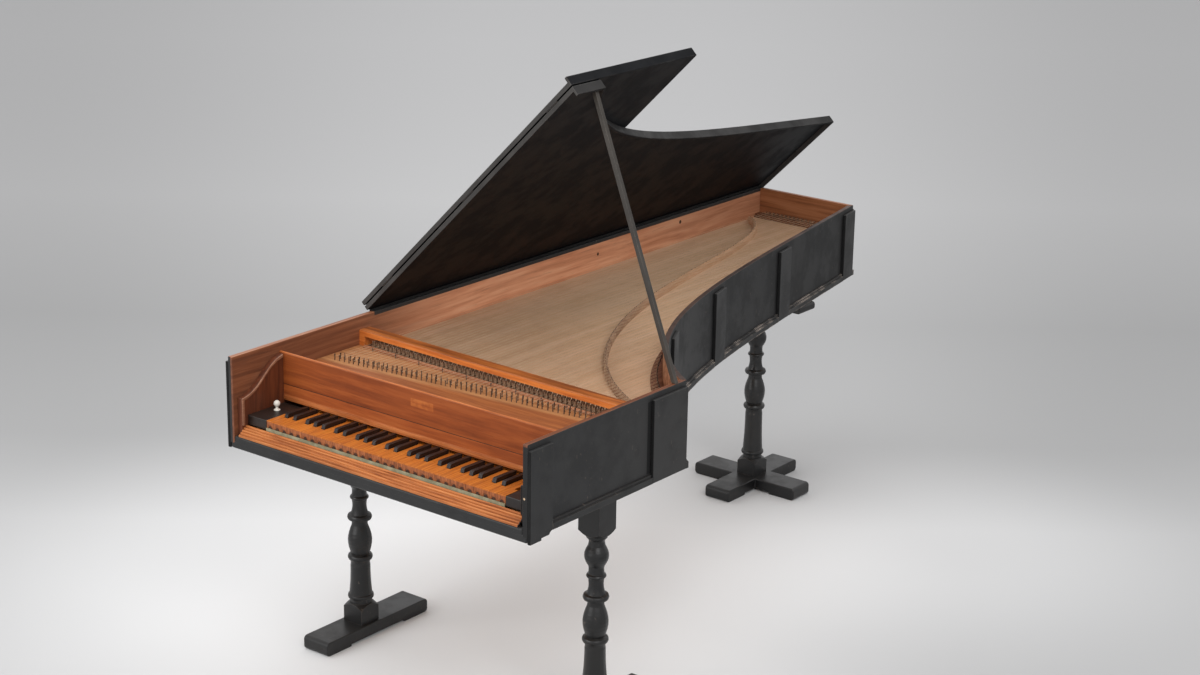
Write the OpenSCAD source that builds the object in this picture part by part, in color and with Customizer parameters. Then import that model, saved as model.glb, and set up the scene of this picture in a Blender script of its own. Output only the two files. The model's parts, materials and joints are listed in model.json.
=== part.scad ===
// Wing-shaped plucked keyboard instrument on three turned legs, lid propped open.
// Lengths are in millimetres. The modelling datum is the case's outer front bottom
// corner at the bass end; place() then moves the finished pieces so that the origin
// lies on the floor under the middle of the whole instrument.
// +X runs to the treble side, +Y to the tail and +Z up.

/* [Case] */
// Outer width of the case at the keyboard
case_w = 950; // [940:1:970]
// Outer length of the case from front to tail
case_l = 2266; // [2240:1:2300]
// Height of the case walls
case_h = 222; // [220:1:226]
// Thickness of the case walls
wall_t = 14; // [12:0.5:16]
// Outer length of the straight cheek
cheek_l = 588; // [582:1:595]
// Outer width of the tail
tail_w = 350; // [340:1:360]
// Thickness of the bottom board
bottom_t = 12; // [10:0.5:14]
// How far the base moulding stands out
base_proud = 9; // [7:0.5:11]
// Height of the base moulding
base_h = 22; // [18:1:26]
// Thickness of the upright battens on the case
batten_t = 9.5; // [8:0.5:11.5]
// Width of the narrow battens
batten_w = 76; // [60:1:80]
// Width of the wide battens at the cheek's ends
batten_wide = 80; // [70:1:90]
// Height of the front rail under the key slip
front_rail_h = 20; // [16:1:24]

/* [Bentside] */
// Angle of the bentside to the cheek's normal where they meet
bent_angle_a = 33.5; // [31:0.5:36]
// Angle of the bentside to the spine at the tail
bent_angle_b = 10.3; // [9.3:0.1:11.3]
// Pull of the curve's treble end
bent_pull_a = 430; // [415:1:445]
// Pull of the curve's tail end
bent_pull_b = 965; // [945:1:985]

/* [Keyboard] */
// Width of one natural key with its gap
natural_w = 23.9; // [23.7:0.1:24.1]
// Gap between neighbouring keys
key_gap = 0.8; // [0.6:0.1:1]
// Front of the natural keys behind the case's front
key_front_y = 35; // [33:0.5:37]
// Length of the natural heads in front of the sharps
head_l = 43; // [40:1:46]
// Height of the naturals' playing surface above the case's underside
key_top_z = 69; // [68:0.5:70]
// Thickness of the natural plates
plate_t = 3; // [2.5:0.1:3.5]
// Thickness of the key levers
lever_t = 18; // [17:0.5:19]
// Height of the sharps above the naturals
sharp_h = 10; // [9:0.5:10.5]
// Width of a sharp
sharp_w = 10.6; // [10:0.1:11]
// Key angle from rest to the full dip
key_dip_deg = 2.2; // [2:0.05:2.25]
// Balance line behind the case's front, at mid width
balance_y = 235; // [230:1:240]
// Radius of the balance pins
balance_pin_r = 1.1; // [1:0.05:1.2]
// Radius of the balance holes
balance_hole_r = 1.9; // [1.85:0.05:2.1]
// Width of the key levers under the jacks
rear_lever_w = 10.4; // [10:0.1:11]
// Gap between the naturals' heads and the toes of the sharps
toe_gap = 1.6; // [1.4:0.1:2]
// Glue line between the lengths that a key is made of
glue_line = 0.05; // [0.04:0.01:0.1]

/* [Action] */
// Slope of the jack gap across the case, towards the front in the treble
gap_slope = 0.033; // [0.025:0.001:0.036]
// Front row of jacks behind the case's front, at mid width
jack_row_y = 440; // [438:1:442]
// Distance between the two rows of jacks
row_pitch = 14; // [13:0.5:15]
// Width of a jack
jack_w = 8.6; // [8:0.1:8.8]
// Thickness of a jack
jack_t = 3.6; // [3.2:0.1:3.8]
// Height of the jack tops at rest
jack_top_z = 162; // [161:0.5:163]
// Clearance round a jack in its slots
jack_clear = 0.3; // [0.25:0.05:0.4]
// Width of the jack rail
rail_w = 38; // [36:1:40]
// Free height between a raised jack and the jack rail
rail_clear = 2; // [1:0.5:3]
// Thickness of the jack rail
rail_t = 15; // [13:1:17]

/* [Nameboard] */
// Front face of the nameboard behind the case's front
name_y = 158; // [156:1:160]
// Thickness of the nameboard
name_t = 12; // [10:0.5:13]
// Lower edge of the nameboard
name_z0 = 76; // [75:0.5:78]
// Seam between the two nameboard boards
name_seam_z = 118; // [112:1:124]
// Top edge of the nameboard
name_z1 = 200; // [196:1:203]

/* [Stringing] */
// Height of the wrestplank's top
plank_z = 146; // [145:0.5:147]
// Thickness of the wrestplank
plank_t = 45; // [42:1:46]
// Height of the strings
string_z = 154; // [153.6:0.1:154.4]
// How far the middle of the jack rows lies from the case's middle
row_shift_x = -19.35; // [-21:0.05:-18]
// Distance from one note's jacks to the next
string_pitch = 15.1; // [15:0.05:15.2]
// Half the distance between the two strings of a note
string_off = 5.3; // [5.2:0.1:5.4]
// Radius of a string
string_r = 0.3; // [0.25:0.05:0.3]
// Height of the soundboard's top
board_z = 133; // [132:0.5:134]
// Thickness of the soundboard
board_t = 3.5; // [3:0.1:4]
// Reach of the hitchpin rail from the outer faces
hitch_d = 44; // [40:1:48]

/* [Lid] */
// Thickness of the lid boards
lid_t = 12; // [11:0.5:14]
// Depth of the lip round the lid's edges
lip_d = 13; // [11:0.5:13.5]
// Thickness of the lip
lip_t = 8; // [7:0.5:9]
// Line where the front flap folds, behind the case's front
fold_y = 487; // [480:1:495]
// Opening angle of the lid at rest
lid_open = 44.7; // [43:0.1:46]
// Side of the square prop stick
prop_w = 12; // [11:0.5:13]

/* [Stand] */
// Height of the case's underside above the floor
floor_h = 612; // [600:1:625]
// Distance of the front legs from the case's sides
leg_x = 85; // [80:1:90]
// Distance of the front legs from the front
leg_y = 360; // [350:1:370]
// Place of the rear leg across the case
rear_leg_x = 249; // [243:1:255]
// Place of the rear leg along the case
rear_leg_y = 1915; // [1905:1:1925]
// How much higher the rear leg's turning sits than the front legs'
rear_lift = 38; // [30:1:42]
// Thickness of the bearers under the case
bearer_t = 24; // [22:1:28]
// Side of the legs' square blocks
block_w = 64; // [60:1:68]
// Length of a foot bar
foot_l = 380; // [370:1:400]
// Width of a foot bar
foot_w = 86; // [80:1:90]
// Height of a foot bar
foot_h = 38; // [34:1:40]

/* [Hidden] */
$fn = 48;
black = "#26282a";
redwood = "#9a5330";
boxwood = "#d98f3c";
paleboard = "#b39169";
iron = "#3b3936";
brass = "#b08a3c";

// Number of notes from C to f three octaves above
NOTES = 54;
// Clearance between pieces that rest on each other but move apart
seat = 0.3;
// Straight steps along each long curve
CURVE_N = 32;
case_mid = case_w / 2;
floor_z = -floor_h;

// Bentside: one cubic curve, its offsets and its corners with cheek and tail
function unit(a, b) = (b - a) / norm(b - a);
bent_p0 = [case_w, cheek_l];
bent_p3 = [tail_w, case_l];
bent_dir_a = [-cos(bent_angle_a), sin(bent_angle_a)];
bent_dir_b = [-sin(bent_angle_b), cos(bent_angle_b)];
bent_p1 = bent_p0 + bent_pull_a * bent_dir_a;
bent_p2 = bent_p3 - bent_pull_b * bent_dir_b;
function cubic(a, b, c, d, t) = a * pow(1 - t, 3) + 3 * b * t * pow(1 - t, 2)
    + 3 * c * t * t * (1 - t) + d * t * t * t;
function slope(a, b, c, d, t) = (b - a) * pow(1 - t, 2) + 2 * (c - b) * t * (1 - t)
    + (d - c) * t * t;
function left_of(v) = [-v[1], v[0]] / norm(v);
function bent(t, d = 0) = cubic(bent_p0, bent_p1, bent_p2, bent_p3, t)
    + d * left_of(slope(bent_p0, bent_p1, bent_p2, bent_p3, t));
function cheek_corner(dc, db) =
    let (q = bent_p0 + db * left_of(bent_dir_a), s = (case_w - dc - q[0]) / bent_dir_a[0])
    q + s * bent_dir_a;
function tail_corner(dt, db) =
    let (q = bent_p3 + db * left_of(bent_dir_b), s = (case_l - dt - q[1]) / bent_dir_b[1])
    q + s * bent_dir_b;
// Points of the bentside line, offset inwards by d, from cheek corner to tail corner
function bent_line(d) = concat([cheek_corner(d, d)],
    [for (k = [1 : CURVE_N - 1]) bent(k / CURVE_N, d)], [tail_corner(d, d)]);
// Plan outline with separate inward offsets of the spine and of the other walls
function plan(ds, d, y0) = concat([[ds, y0], [case_w - d, y0]], bent_line(d),
    [[ds, case_l - d]]);
function backwards(list) = [for (k = [len(list) - 1 : -1 : 0]) list[k]];

// Bridge: a second cubic curve on the soundboard
bridge_p0 = [case_w - 80, cheek_l - 76];
bridge_p1 = [case_w - 811, cheek_l + 298];
bridge_p2 = [tail_w - 18, case_l - 260];
bridge_p3 = [wall_t + 26, case_l - 110];
function bridge_at(t, d = 0) = cubic(bridge_p0, bridge_p1, bridge_p2, bridge_p3, t)
    + d * left_of(slope(bridge_p0, bridge_p1, bridge_p2, bridge_p3, t));
// Parameter at which a line that falls in X reaches x, found by halving
function bridge_t(x, lo = 0, hi = 1, n = 18) = n == 0 ? (lo + hi) / 2
    : bridge_at((lo + hi) / 2)[0] > x ? bridge_t(x, (lo + hi) / 2, hi, n - 1)
    : bridge_t(x, lo, (lo + hi) / 2, n - 1);
// The same on the bentside's line, for a given x and for a given y
function bent_t(x, d, lo = 0, hi = 1, n = 18) = n == 0 ? (lo + hi) / 2
    : bent((lo + hi) / 2, d)[0] > x ? bent_t(x, d, (lo + hi) / 2, hi, n - 1)
    : bent_t(x, d, lo, (lo + hi) / 2, n - 1);
function bent_t_at_y(y, lo = 0, hi = 1, n = 18) = n == 0 ? (lo + hi) / 2
    : bent((lo + hi) / 2)[1] < y ? bent_t_at_y(y, (lo + hi) / 2, hi, n - 1)
    : bent_t_at_y(y, lo, (lo + hi) / 2, n - 1);

// Keyboard layout: natural heads in front, five and seven equal tails behind
natural_index = [0, 0, 1, 1, 2, 3, 3, 4, 4, 5, 5, 6];
function is_sharp(p) = p == 1 || p == 3 || p == 6 || p == 8 || p == 10;
naturals_total = 32;
keyboard_w = naturals_total * natural_w;
keyboard_x = (case_w - keyboard_w) / 2;
function octave_x(i) = keyboard_x + floor(i / 12) * 7 * natural_w;
function tail_slot_w(p) = p < 5 ? 3 * natural_w / 5 : 4 * natural_w / 7;
function tail_x(i) = let (p = i % 12) octave_x(i)
    + (p < 5 ? p * tail_slot_w(p) : 3 * natural_w + (p - 5) * tail_slot_w(p));
function note_x(i) = tail_x(i) + tail_slot_w(i % 12) / 2;
// Behind the nameboard the levers splay out to the jacks and strings
function jack_x(i) = case_mid + row_shift_x + (i - (NOTES - 1) / 2) * string_pitch;
function skew(x) = -gap_slope * (x - case_mid);

lever_z1 = key_top_z - plate_t;
lever_z0 = lever_z1 - lever_t;
head_end_y = key_front_y + head_l;
plate_end_y = name_y - 1;
sharp_end_y = name_y - 3;
row_b_y = jack_row_y + row_pitch;
register_y0 = jack_row_y - 8;
splay_y0 = plate_end_y;
splay_y1 = jack_row_y + row_pitch / 2;
function lever_x(i, y) = note_x(i)
    + (jack_x(i) - note_x(i)) * (y - splay_y0) / (splay_y1 - splay_y0);
register_y1 = row_b_y + 8;
lever_end_y = row_b_y + 26;
rack_y = lever_end_y + 3;
rack_t = 10;
slip_l = 9;
// Middle of the lever at the slip in its rear end, and at the balance pin
function slip_x(i) = lever_x(i, lever_end_y + skew(jack_x(i)));
function pin_x(i) = lever_x(i, balance_y + skew(note_x(i)));
slip_w = 1.4;
slot_w = 3;
key_rise = (row_b_y + jack_t / 2 - balance_y) * tan(key_dip_deg);
rail_z = jack_top_z + key_rise + rail_clear;

// Hinge line of the lid along the top of the spine
hinge_x = -4;
hinge_z = case_h + 0.15;
lid_z0 = case_h + seat;
lid_z1 = lid_z0 + lid_t;
// Fold line of the flap, just above the lid's outer face
fold_z = lid_z1 + 1.5;
fold_gap = 0.5;
lip_gap = 0.4;
lip_out = lip_gap + lip_t;

// Place of the origin: middle of the whole box at rest, on the floor
flap_top_z = 2 * fold_z - (lid_z1 - lid_t - lip_d);
min_x = hinge_x - hinge_x * cos(lid_open) - (flap_top_z - hinge_z) * sin(lid_open);
max_x = case_w + batten_t;
min_y = 0;
max_y = case_l + batten_t;
origin_x = (min_x + max_x) / 2;
origin_y = (min_y + max_y) / 2;
module place() {
    translate([-origin_x, -origin_y, floor_h]) children();
}

// Board between heights z0 and z1 over a list of plan points
module slab(points, z0, z1) {
    translate([0, 0, z0]) linear_extrude(z1 - z0) polygon(points);
}
// Straight bar across the case that follows the slope of the jack gap
module skew_bar(x0, x1, y0, y1, z0, z1) {
    slab([[x0, y0 + skew(x0)], [x1, y0 + skew(x1)], [x1, y1 + skew(x1)],
        [x0, y1 + skew(x0)]], z0, z1);
}
// Bar of a given section, drawn in Y and Z, from point a towards point b in plan
module bar_along(a, b, section) {
    translate([a[0], a[1], 0])
        rotate([0, 0, atan2(b[1] - a[1], b[0] - a[0])])
            rotate([90, 0, 90]) linear_extrude(norm(b - a)) polygon(section);
}
// Upright rod
module rod(x, y, z0, z1, r, sides = 48) {
    translate([x, y, z0]) cylinder(r = r, h = z1 - z0, $fn = sides);
}
module box(x0, x1, y0, y1, z0, z1) {
    translate([x0, y0, z0]) cube([x1 - x0, y1 - y0, z1 - z0]);
}

// Case
module bottom_board() {
    color(paleboard) slab(plan(wall_t, wall_t, wall_t), 0, bottom_t);
}
module spine_wall() {
    color(redwood) box(0, wall_t, 0, case_l, 0, case_h);
}
module cheek_wall() {
    color(redwood) slab([[case_w - wall_t, 0], [case_w, 0], bent_p0,
        cheek_corner(wall_t, wall_t)], 0, case_h);
}
module bentside_wall() {
    color(redwood) slab(concat(bent_line(0), backwards(bent_line(wall_t))), 0, case_h);
}
module tail_wall() {
    color(redwood) slab([[wall_t, case_l - wall_t], tail_corner(wall_t, wall_t), bent_p3,
        [wall_t, case_l]], 0, case_h);
}
batten_top = case_h - lip_d - 1;
front_batten_drop = 14;
// Front batten of a side: its foot hangs below the case in a cove
module front_batten(x0) {
    translate([x0, 0, 0]) rotate([90, 0, 90]) linear_extrude(batten_t) difference() {
        translate([0, -front_batten_drop])
            square([batten_wide, batten_top + front_batten_drop]);
        translate([batten_wide, -front_batten_drop]) circle(r = front_batten_drop);
        translate([batten_wide * 0.5, -front_batten_drop - 5])
            square([batten_wide, 5 + 0.4 * front_batten_drop]);
    }
}
// Batten on the curved bentside, with its middle at the given y
module bent_batten(y) {
    t = bent_t_at_y(y);
    base = bent(t);
    dir = -unit(bent(t - 0.01), bent(t + 0.01));
    out = left_of(dir);
    a = base - batten_w / 2 * dir;
    b = base + batten_w / 2 * dir;
    sag = 3;
    difference() {
        slab([a + batten_t * out, b + batten_t * out, b - sag * out, a - sag * out],
            0, batten_top);
        slab(concat(bent_line(0), backwards(bent_line(wall_t * 2))), -1, case_h);
    }
}
corner_batten_y = cheek_l - batten_wide - 58;
corner_batten_w = batten_wide + 54;
bent_share = [0.18, 0.4172, 0.6913];
bent_batten_y = concat([for (s = bent_share) cheek_l + s * (case_l - cheek_l)],
    [case_l - batten_w / 2 - 2]);
spine_share = [0.19, 0.4413, 0.7061];
spine_batten_y = concat([for (s = spine_share) s * case_l], [case_l - batten_w]);
tail_batten_x = tail_w - batten_w - 2;
module case_battens() {
    color(black) {
        front_batten(case_w);
        front_batten(-batten_t);
        box(case_w, case_w + batten_t, corner_batten_y, corner_batten_y + corner_batten_w,
            0, batten_top);
        for (y = bent_batten_y) bent_batten(y);
        for (y = spine_batten_y) box(-batten_t, 0, y, y + batten_w, 0, batten_top);
        box(tail_batten_x, tail_batten_x + batten_w, case_l, case_l + batten_t, 0,
            batten_top);
    }
}
// One layer of the base moulding, a band outside the walls
module base_layer(proud, z0, z1) {
    slab(concat([[0, 0], [-proud, 0], [-proud, case_l + proud]],
        backwards(bent_line(-proud)), [[case_w + proud, 0], [case_w, 0]], bent_line(0),
        [[0, case_l]]), z0, z1);
}
base_step_h = base_h * 0.7;
base_step_proud = base_proud * 0.55;
// Base moulding, interrupted where the battens run down to the case's underside
module base_moulding() {
    color(black) difference() {
        union() {
            base_layer(base_proud, 0, base_step_h);
            base_layer(base_step_proud, base_step_h, base_h);
        }
        case_battens();
    }
}
// Rail across the front under the key slip
module front_rail() {
    color(black) box(wall_t, case_w - wall_t, 0, wall_t, 0, front_rail_h);
}

// Liners, belly rails and braces that carry the soundboard and stiffen the bottom
liner_w = 20;
liner_h = 28;
belly_t = 20;
brace_t = 18;
brace_h = 42;
brace_share = [0.15, 0.353, 0.567, 0.782];
board_under = board_z - board_t;
module inner_frame() {
    liner_z = board_under - liner_h;
    belly_y = register_y1;
    inner = wall_t + liner_w;
    color(paleboard) {
        skew_bar(wall_t, case_w - wall_t, belly_y, belly_y + belly_t, 88, board_under);
        lower_y = rack_y + rack_t + 12;
        skew_bar(wall_t, case_w - wall_t, lower_y, lower_y + brace_t, bottom_t, 70);
        liner_y = belly_y + belly_t + 16;
        box(wall_t, inner, liner_y, case_l - wall_t, liner_z, board_under);
        box(inner, tail_corner(inner, inner)[0], case_l - inner, case_l - wall_t,
            liner_z, board_under);
        slab(concat(bent_line(wall_t), backwards(bent_line(inner))), liner_z, board_under);
        for (s = brace_share) let (y = cheek_l + s * (case_l - cheek_l)) intersection() {
            box(wall_t, case_w, y, y + brace_t, bottom_t, bottom_t + brace_h);
            slab(plan(wall_t, wall_t, 0), 0, case_h);
        }
    }
}

// Keywell
end_t = 14;
end_x = wall_t + end_t;
scroll_y0 = 14;
// Outline of an endboard: upright front edge, shoulder, then an S up to the nameboard
shoulder_z = 116;
scroll_top_z = name_z1 - 4;
function scroll_z(u) = shoulder_z + (scroll_top_z - shoulder_z) * (u - sin(360 * u) / 11);
scroll_steps = 20;
scroll_line = [for (k = [0 : scroll_steps]) let (u = k / scroll_steps)
    [scroll_y0 + 6 + (name_y - scroll_y0 - 8) * u, scroll_z(u)]];
module endboard(x0) {
    color(redwood) translate([x0, 0, 0]) rotate([90, 0, 90]) linear_extrude(end_t)
        polygon(concat([[name_y, bottom_t], [scroll_y0, bottom_t], [scroll_y0, shoulder_z]],
            scroll_line, [[name_y, scroll_top_z]]));
}
module endboards() {
    endboard(wall_t);
    endboard(case_w - wall_t - end_t);
}
// Raised moulding along the edge of an endboard
mould_w = 8;
mould_t = 4;
slip_top_z = 45;
module scroll_moulding(x0) {
    drop = [0, -mould_w];
    color(redwood) translate([x0, 0, 0]) rotate([90, 0, 90]) linear_extrude(mould_t)
        polygon(concat([[scroll_y0, slip_top_z], [scroll_y0, shoulder_z]], scroll_line,
            [for (q = backwards(scroll_line)) if (q[0] > scroll_y0 + mould_w) q + drop],
            [[scroll_y0 + mould_w, shoulder_z - mould_w + 2],
                [scroll_y0 + mould_w, slip_top_z]]));
}
module scroll_mouldings() {
    scroll_moulding(end_x);
    scroll_moulding(case_w - end_x - mould_t);
}
key_block_z0 = 44;
key_block_y0 = key_front_y - 1;
module key_blocks() {
    color(black) {
        box(end_x, keyboard_x - key_gap, key_block_y0, name_y, key_block_z0, key_top_z);
        box(keyboard_x + keyboard_w + key_gap, case_w - end_x, key_block_y0, name_y,
            key_block_z0, key_top_z);
    }
}
knob_x = 58;
knob_y = 104;
module block_knob() {
    color("ivory") translate([knob_x, knob_y, key_top_z]) rotate_extrude() difference() {
        union() {
            polygon([[0, 0], [8, 0], [8.4, 1], [7.6, 2.4], [3.8, 4.5], [3.2, 7], [4, 11],
                [0, 11]]);
            translate([0, 17.5]) circle(r = 8.2);
        }
        translate([-20, -1]) square([20, 40]);
    }
}
// Key slip: five reeds that climb backwards from the front rail
slip_x0 = end_x;
slip_y0 = 1.5;
reed_n = 5;
reed_w = (key_front_y - 3.5 - slip_y0) / reed_n;
reed_rise = (slip_top_z - front_rail_h - 3) / reed_n;
module key_slip() {
    slip_len = case_w - 2 * end_x;
    color(redwood) translate([slip_x0, 0, 0]) rotate([90, 0, 90]) linear_extrude(slip_len)
        union() {
            for (k = [0 : reed_n - 1]) {
                y = slip_y0 + k * reed_w;
                z = front_rail_h + 3 + k * reed_rise;
                translate([y, front_rail_h]) square([reed_w + 0.01, z - front_rail_h]);
                translate([y + reed_w / 2, z]) circle(r = reed_w / 2, $fn = 32);
            }
            translate([slip_y0 + reed_w, front_rail_h])
                square([reed_w * (reed_n - 1), reed_rise]);
        }
}
// Strip of cloth on the frame under the key fronts
module key_cloth() {
    color("#8b8c72") box(keyboard_x, keyboard_x + keyboard_w, key_front_y - 3,
        key_front_y + 9, front_rail_h + 14, front_rail_h + 17);
}
bead_r = 3.5;
module nameboard_upper() {
    color(redwood) union() {
        box(wall_t, case_w - wall_t, name_y, name_y + name_t, name_seam_z,
            name_z1 - bead_r);
        translate([wall_t, name_y + name_t / 2 - 1, name_z1 - bead_r])
            rotate([90, 0, 90]) linear_extrude(case_w - 2 * wall_t)
                union() {
                    circle(r = bead_r);
                    translate([-name_t / 2 + 1, -1]) square([name_t - 0.5, 2]);
                }
    }
}
module nameboard_lower() {
    color(redwood) union() {
        box(wall_t, case_w - wall_t, name_y, name_y + name_t, name_z0, name_seam_z);
        box(end_x, case_w - end_x, name_y - 2, name_y, name_z0 + 5, name_z0 + 12);
        box(end_x, case_w - end_x, name_y - 1, name_y, name_z0 + 12, name_z0 + 15);
    }
}

// Stringing
plank_y0 = name_y + name_t;
pin_row_y = 351;
pin_slope = 0.089;
pin_pitch_y = 15;
module wrestplank() {
    color(paleboard) slab([[wall_t, plank_y0], [case_w - wall_t, plank_y0],
        [case_w - wall_t, register_y0 + skew(case_w - wall_t)],
        [wall_t, register_y0 + skew(wall_t)]], plank_z - plank_t, plank_z);
}
function string_x(i, side) = jack_x(i) + side * string_off;
function pin_y(i, side) = pin_row_y + pin_slope * (jack_x(i) - case_mid)
    + (side > 0 ? pin_pitch_y : 0);
hitch_line_d = 28;
tail_hitch_x = tail_corner(hitch_line_d, hitch_line_d)[0];
function hitch_y(x) = x < tail_hitch_x ? case_l - hitch_line_d
    : bent(bent_t(x, hitch_line_d), hitch_line_d)[1];
wrest_pin_r = 2;
module tuning_pins() {
    color(iron) for (i = [0 : NOTES - 1], side = [-1, 1]) {
        x = string_x(i, side) - side * (wrest_pin_r + string_r);
        y = pin_y(i, side);
        rod(x, y, plank_z - 30, plank_z + 14, wrest_pin_r, 8);
        translate([x, y, plank_z + 16.5]) cube([2.2, 5, 5], center = true);
    }
}
nut_y = 421;
nut_h = string_z - string_r - plank_z;
module nut() {
    section = [[-5, plank_z], [5, plank_z], [4.2, plank_z + nut_h * 0.6],
        [1.2, plank_z + nut_h], [-1.2, plank_z + nut_h], [-4.2, plank_z + nut_h * 0.6]];
    x0 = string_x(0, -1) - 12;
    x1 = string_x(NOTES - 1, 1) + 12;
    color(redwood) bar_along([x0, nut_y + skew(x0)], [x1, nut_y + skew(x1)], section);
}
// Ribs under the soundboard: [spine end along, bentside end across, along], as shares
rib_share = [[0.397, 0.453, 0.309], [0.552, 0.347, 0.468], [0.706, 0.274, 0.635]];
module soundboard() {
    front_y = register_y1;
    x1 = case_w - wall_t;
    color(paleboard) {
        slab(concat([[wall_t, front_y + skew(wall_t)], [x1, front_y + skew(x1)]],
            bent_line(wall_t), [[wall_t, case_l - wall_t]]), board_under, board_z);
        for (rib = rib_share)
            bar_along([wall_t + 46, rib[0] * case_l], [rib[1] * case_w, rib[2] * case_l],
                [[-5, board_under - 11], [5, board_under - 11], [5, board_under],
                    [-5, board_under]]);
    }
}
function bridge_band(half) = concat([for (k = [0 : CURVE_N]) bridge_at(k / CURVE_N, half)],
    [for (k = [CURVE_N : -1 : 0]) bridge_at(k / CURVE_N, -half)]);
module bridge() {
    crown_z = string_z - string_r;
    color(redwood) union() {
        slab(bridge_band(6), board_z, crown_z - 6);
        slab(bridge_band(4.2), crown_z - 6, crown_z - 3);
        slab(bridge_band(2.2), crown_z - 3, crown_z);
    }
}
hitch_h = 12;
module hitch_rail() {
    step = 6;
    color(redwood) union() {
        for (layer = [[hitch_d, 0, hitch_h * 0.6], [hitch_d - step, hitch_h * 0.6, hitch_h]])
            slab(concat([[wall_t, case_l - wall_t], [wall_t, case_l - layer[0]]],
                backwards(bent_line(layer[0])), bent_line(wall_t)),
                board_z + layer[1], board_z + layer[2]);
    }
}
pin_r = 0.6;
// Balance pins, and the small pins beside each string at nut, bridge and hitch rail
module small_pins() {
    color(brass) {
        for (i = [0 : NOTES - 1]) {
            x = pin_x(i);
            rod(x, balance_y + skew(x), lever_z0 - 12, lever_z1 - 2, balance_pin_r, 24);
        }
        for (i = [0 : NOTES - 1], side = [-1, 1]) {
            x = string_x(i, side);
            beside = x + pin_r + string_r + 0.1;
            rod(beside, nut_y + skew(x), string_z - 5, string_z + 2, pin_r, 5);
            rod(beside, bridge_at(bridge_t(x))[1], string_z - 5, string_z + 2, pin_r, 5);
            rod(beside, hitch_y(x), board_z + hitch_h - 6, string_z + 1.5, pin_r + 0.3, 5);
        }
    }
}
module strings() {
    color("#c9b26a") for (i = [0 : NOTES - 1], side = [-1, 1]) {
        x = string_x(i, side);
        y0 = pin_y(i, side);
        translate([x, y0, string_z]) rotate([-90, 0, 0])
            cylinder(r = string_r, h = hitch_y(x) - y0, $fn = 6);
    }
}

// Action
register_t = 12;
guide_z = 84;
guide_t = 6;
module jack_slots(z0, z1) {
    half_w = jack_w / 2 + jack_clear;
    half_t = jack_t / 2 + jack_clear;
    for (i = [0 : NOTES - 1], y = [jack_row_y, row_b_y]) {
        x = jack_x(i);
        box(x - half_w, x + half_w, y + skew(x) - half_t, y + skew(x) + half_t, z0, z1);
    }
}
module registers() {
    for (z = [[guide_z, guide_z + guide_t], [plank_z - register_t, plank_z]])
        color(redwood) difference() {
            skew_bar(wall_t, case_w - wall_t, register_y0, register_y1, z[0], z[1]);
            jack_slots(z[0] - 1, z[1] + 1);
        }
}
rail_y0 = jack_row_y - 12;
rail_block_w = 18;
module jack_rail() {
    color(redwood) {
        section = [[0, rail_z], [rail_w, rail_z], [rail_w, rail_z + rail_t - 2],
            [rail_w - 2, rail_z + rail_t], [2, rail_z + rail_t], [0, rail_z + rail_t - 2]];
        x0 = wall_t + seat;
        x1 = case_w - wall_t - 2;
        bar_along([x0, rail_y0 + skew(x0)], [x1, rail_y0 + skew(x1)], section);
        skew_bar(wall_t, wall_t + rail_block_w, rail_y0, rail_y0 + rail_w, plank_z, rail_z);
        skew_bar(case_w - wall_t - rail_block_w, case_w - wall_t, rail_y0,
            rail_y0 + rail_w, plank_z, rail_z);
    }
}
frame_h = 6;
frame_end_t = 6;
// Key frame: front rail, balance rail, back rail with its slotted rack, and side bars
module key_frame() {
    x0 = end_x + 4;
    x1 = case_w - end_x - 4;
    base_z = bottom_t;
    rest_z = lever_z0 - seat;
    ridge = 2;
    color(paleboard) union() {
        box(x0, x1, key_front_y - 3, key_front_y + 22, base_z, front_rail_h + 14);
        bar_along([x0, balance_y + skew(x0)], [x1, balance_y + skew(x1)],
            [[-14, base_z], [14, base_z], [14, rest_z - 3], [ridge, rest_z],
                [-ridge, rest_z], [-14, rest_z - 3]]);
        for (x = [x0 + 1, x1 - 1 - frame_end_t])
            box(x, x + frame_end_t, key_front_y, rack_y - 20, base_z, base_z + frame_h);
        difference() {
            bar_along([x0, skew(x0)], [x1, skew(x1)],
                [[rack_y - 25, base_z], [rack_y + rack_t, base_z],
                    [rack_y + rack_t, lever_z1 + 12], [rack_y, lever_z1 + 12],
                    [rack_y, base_z + 12], [rack_y - 7, base_z + 12], [rack_y - 7, rest_z],
                    [rack_y - 25, rest_z]]);
            for (i = [0 : NOTES - 1]) {
                x = slip_x(i);
                box(x - slot_w / 2, x + slot_w / 2, rack_y + skew(x) - 2,
                    rack_y + skew(x) + rack_t - 1.5, lever_z0 - 4, lever_z1 + 20);
            }
        }
    }
}
// Side view of a sharp, drawn in Y and Z
toe_y = head_end_y + toe_gap;
sharp_side = [[toe_y, lever_z1], [sharp_end_y, lever_z1],
    [sharp_end_y, key_top_z + sharp_h - 1.5], [toe_y + 7, key_top_z + sharp_h],
    [toe_y + 3, key_top_z + sharp_h - 2], [toe_y + 1, lever_z1 + 4]];
// Head of a natural, with the arch cut into its front
module natural_head(x) {
    color(boxwood) difference() {
        box(x + key_gap / 2, x + natural_w - key_gap / 2, key_front_y,
            head_end_y - glue_line, lever_z0, key_top_z);
        translate([x + natural_w / 2, key_front_y - 1, lever_z0 + 3])
            rotate([-90, 0, 0]) difference() {
                cylinder(r = 9, h = 2.2, $fn = 40);
                translate([0, 0, -1]) cylinder(r = 6, h = 5, $fn = 32);
            }
    }
}
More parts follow.
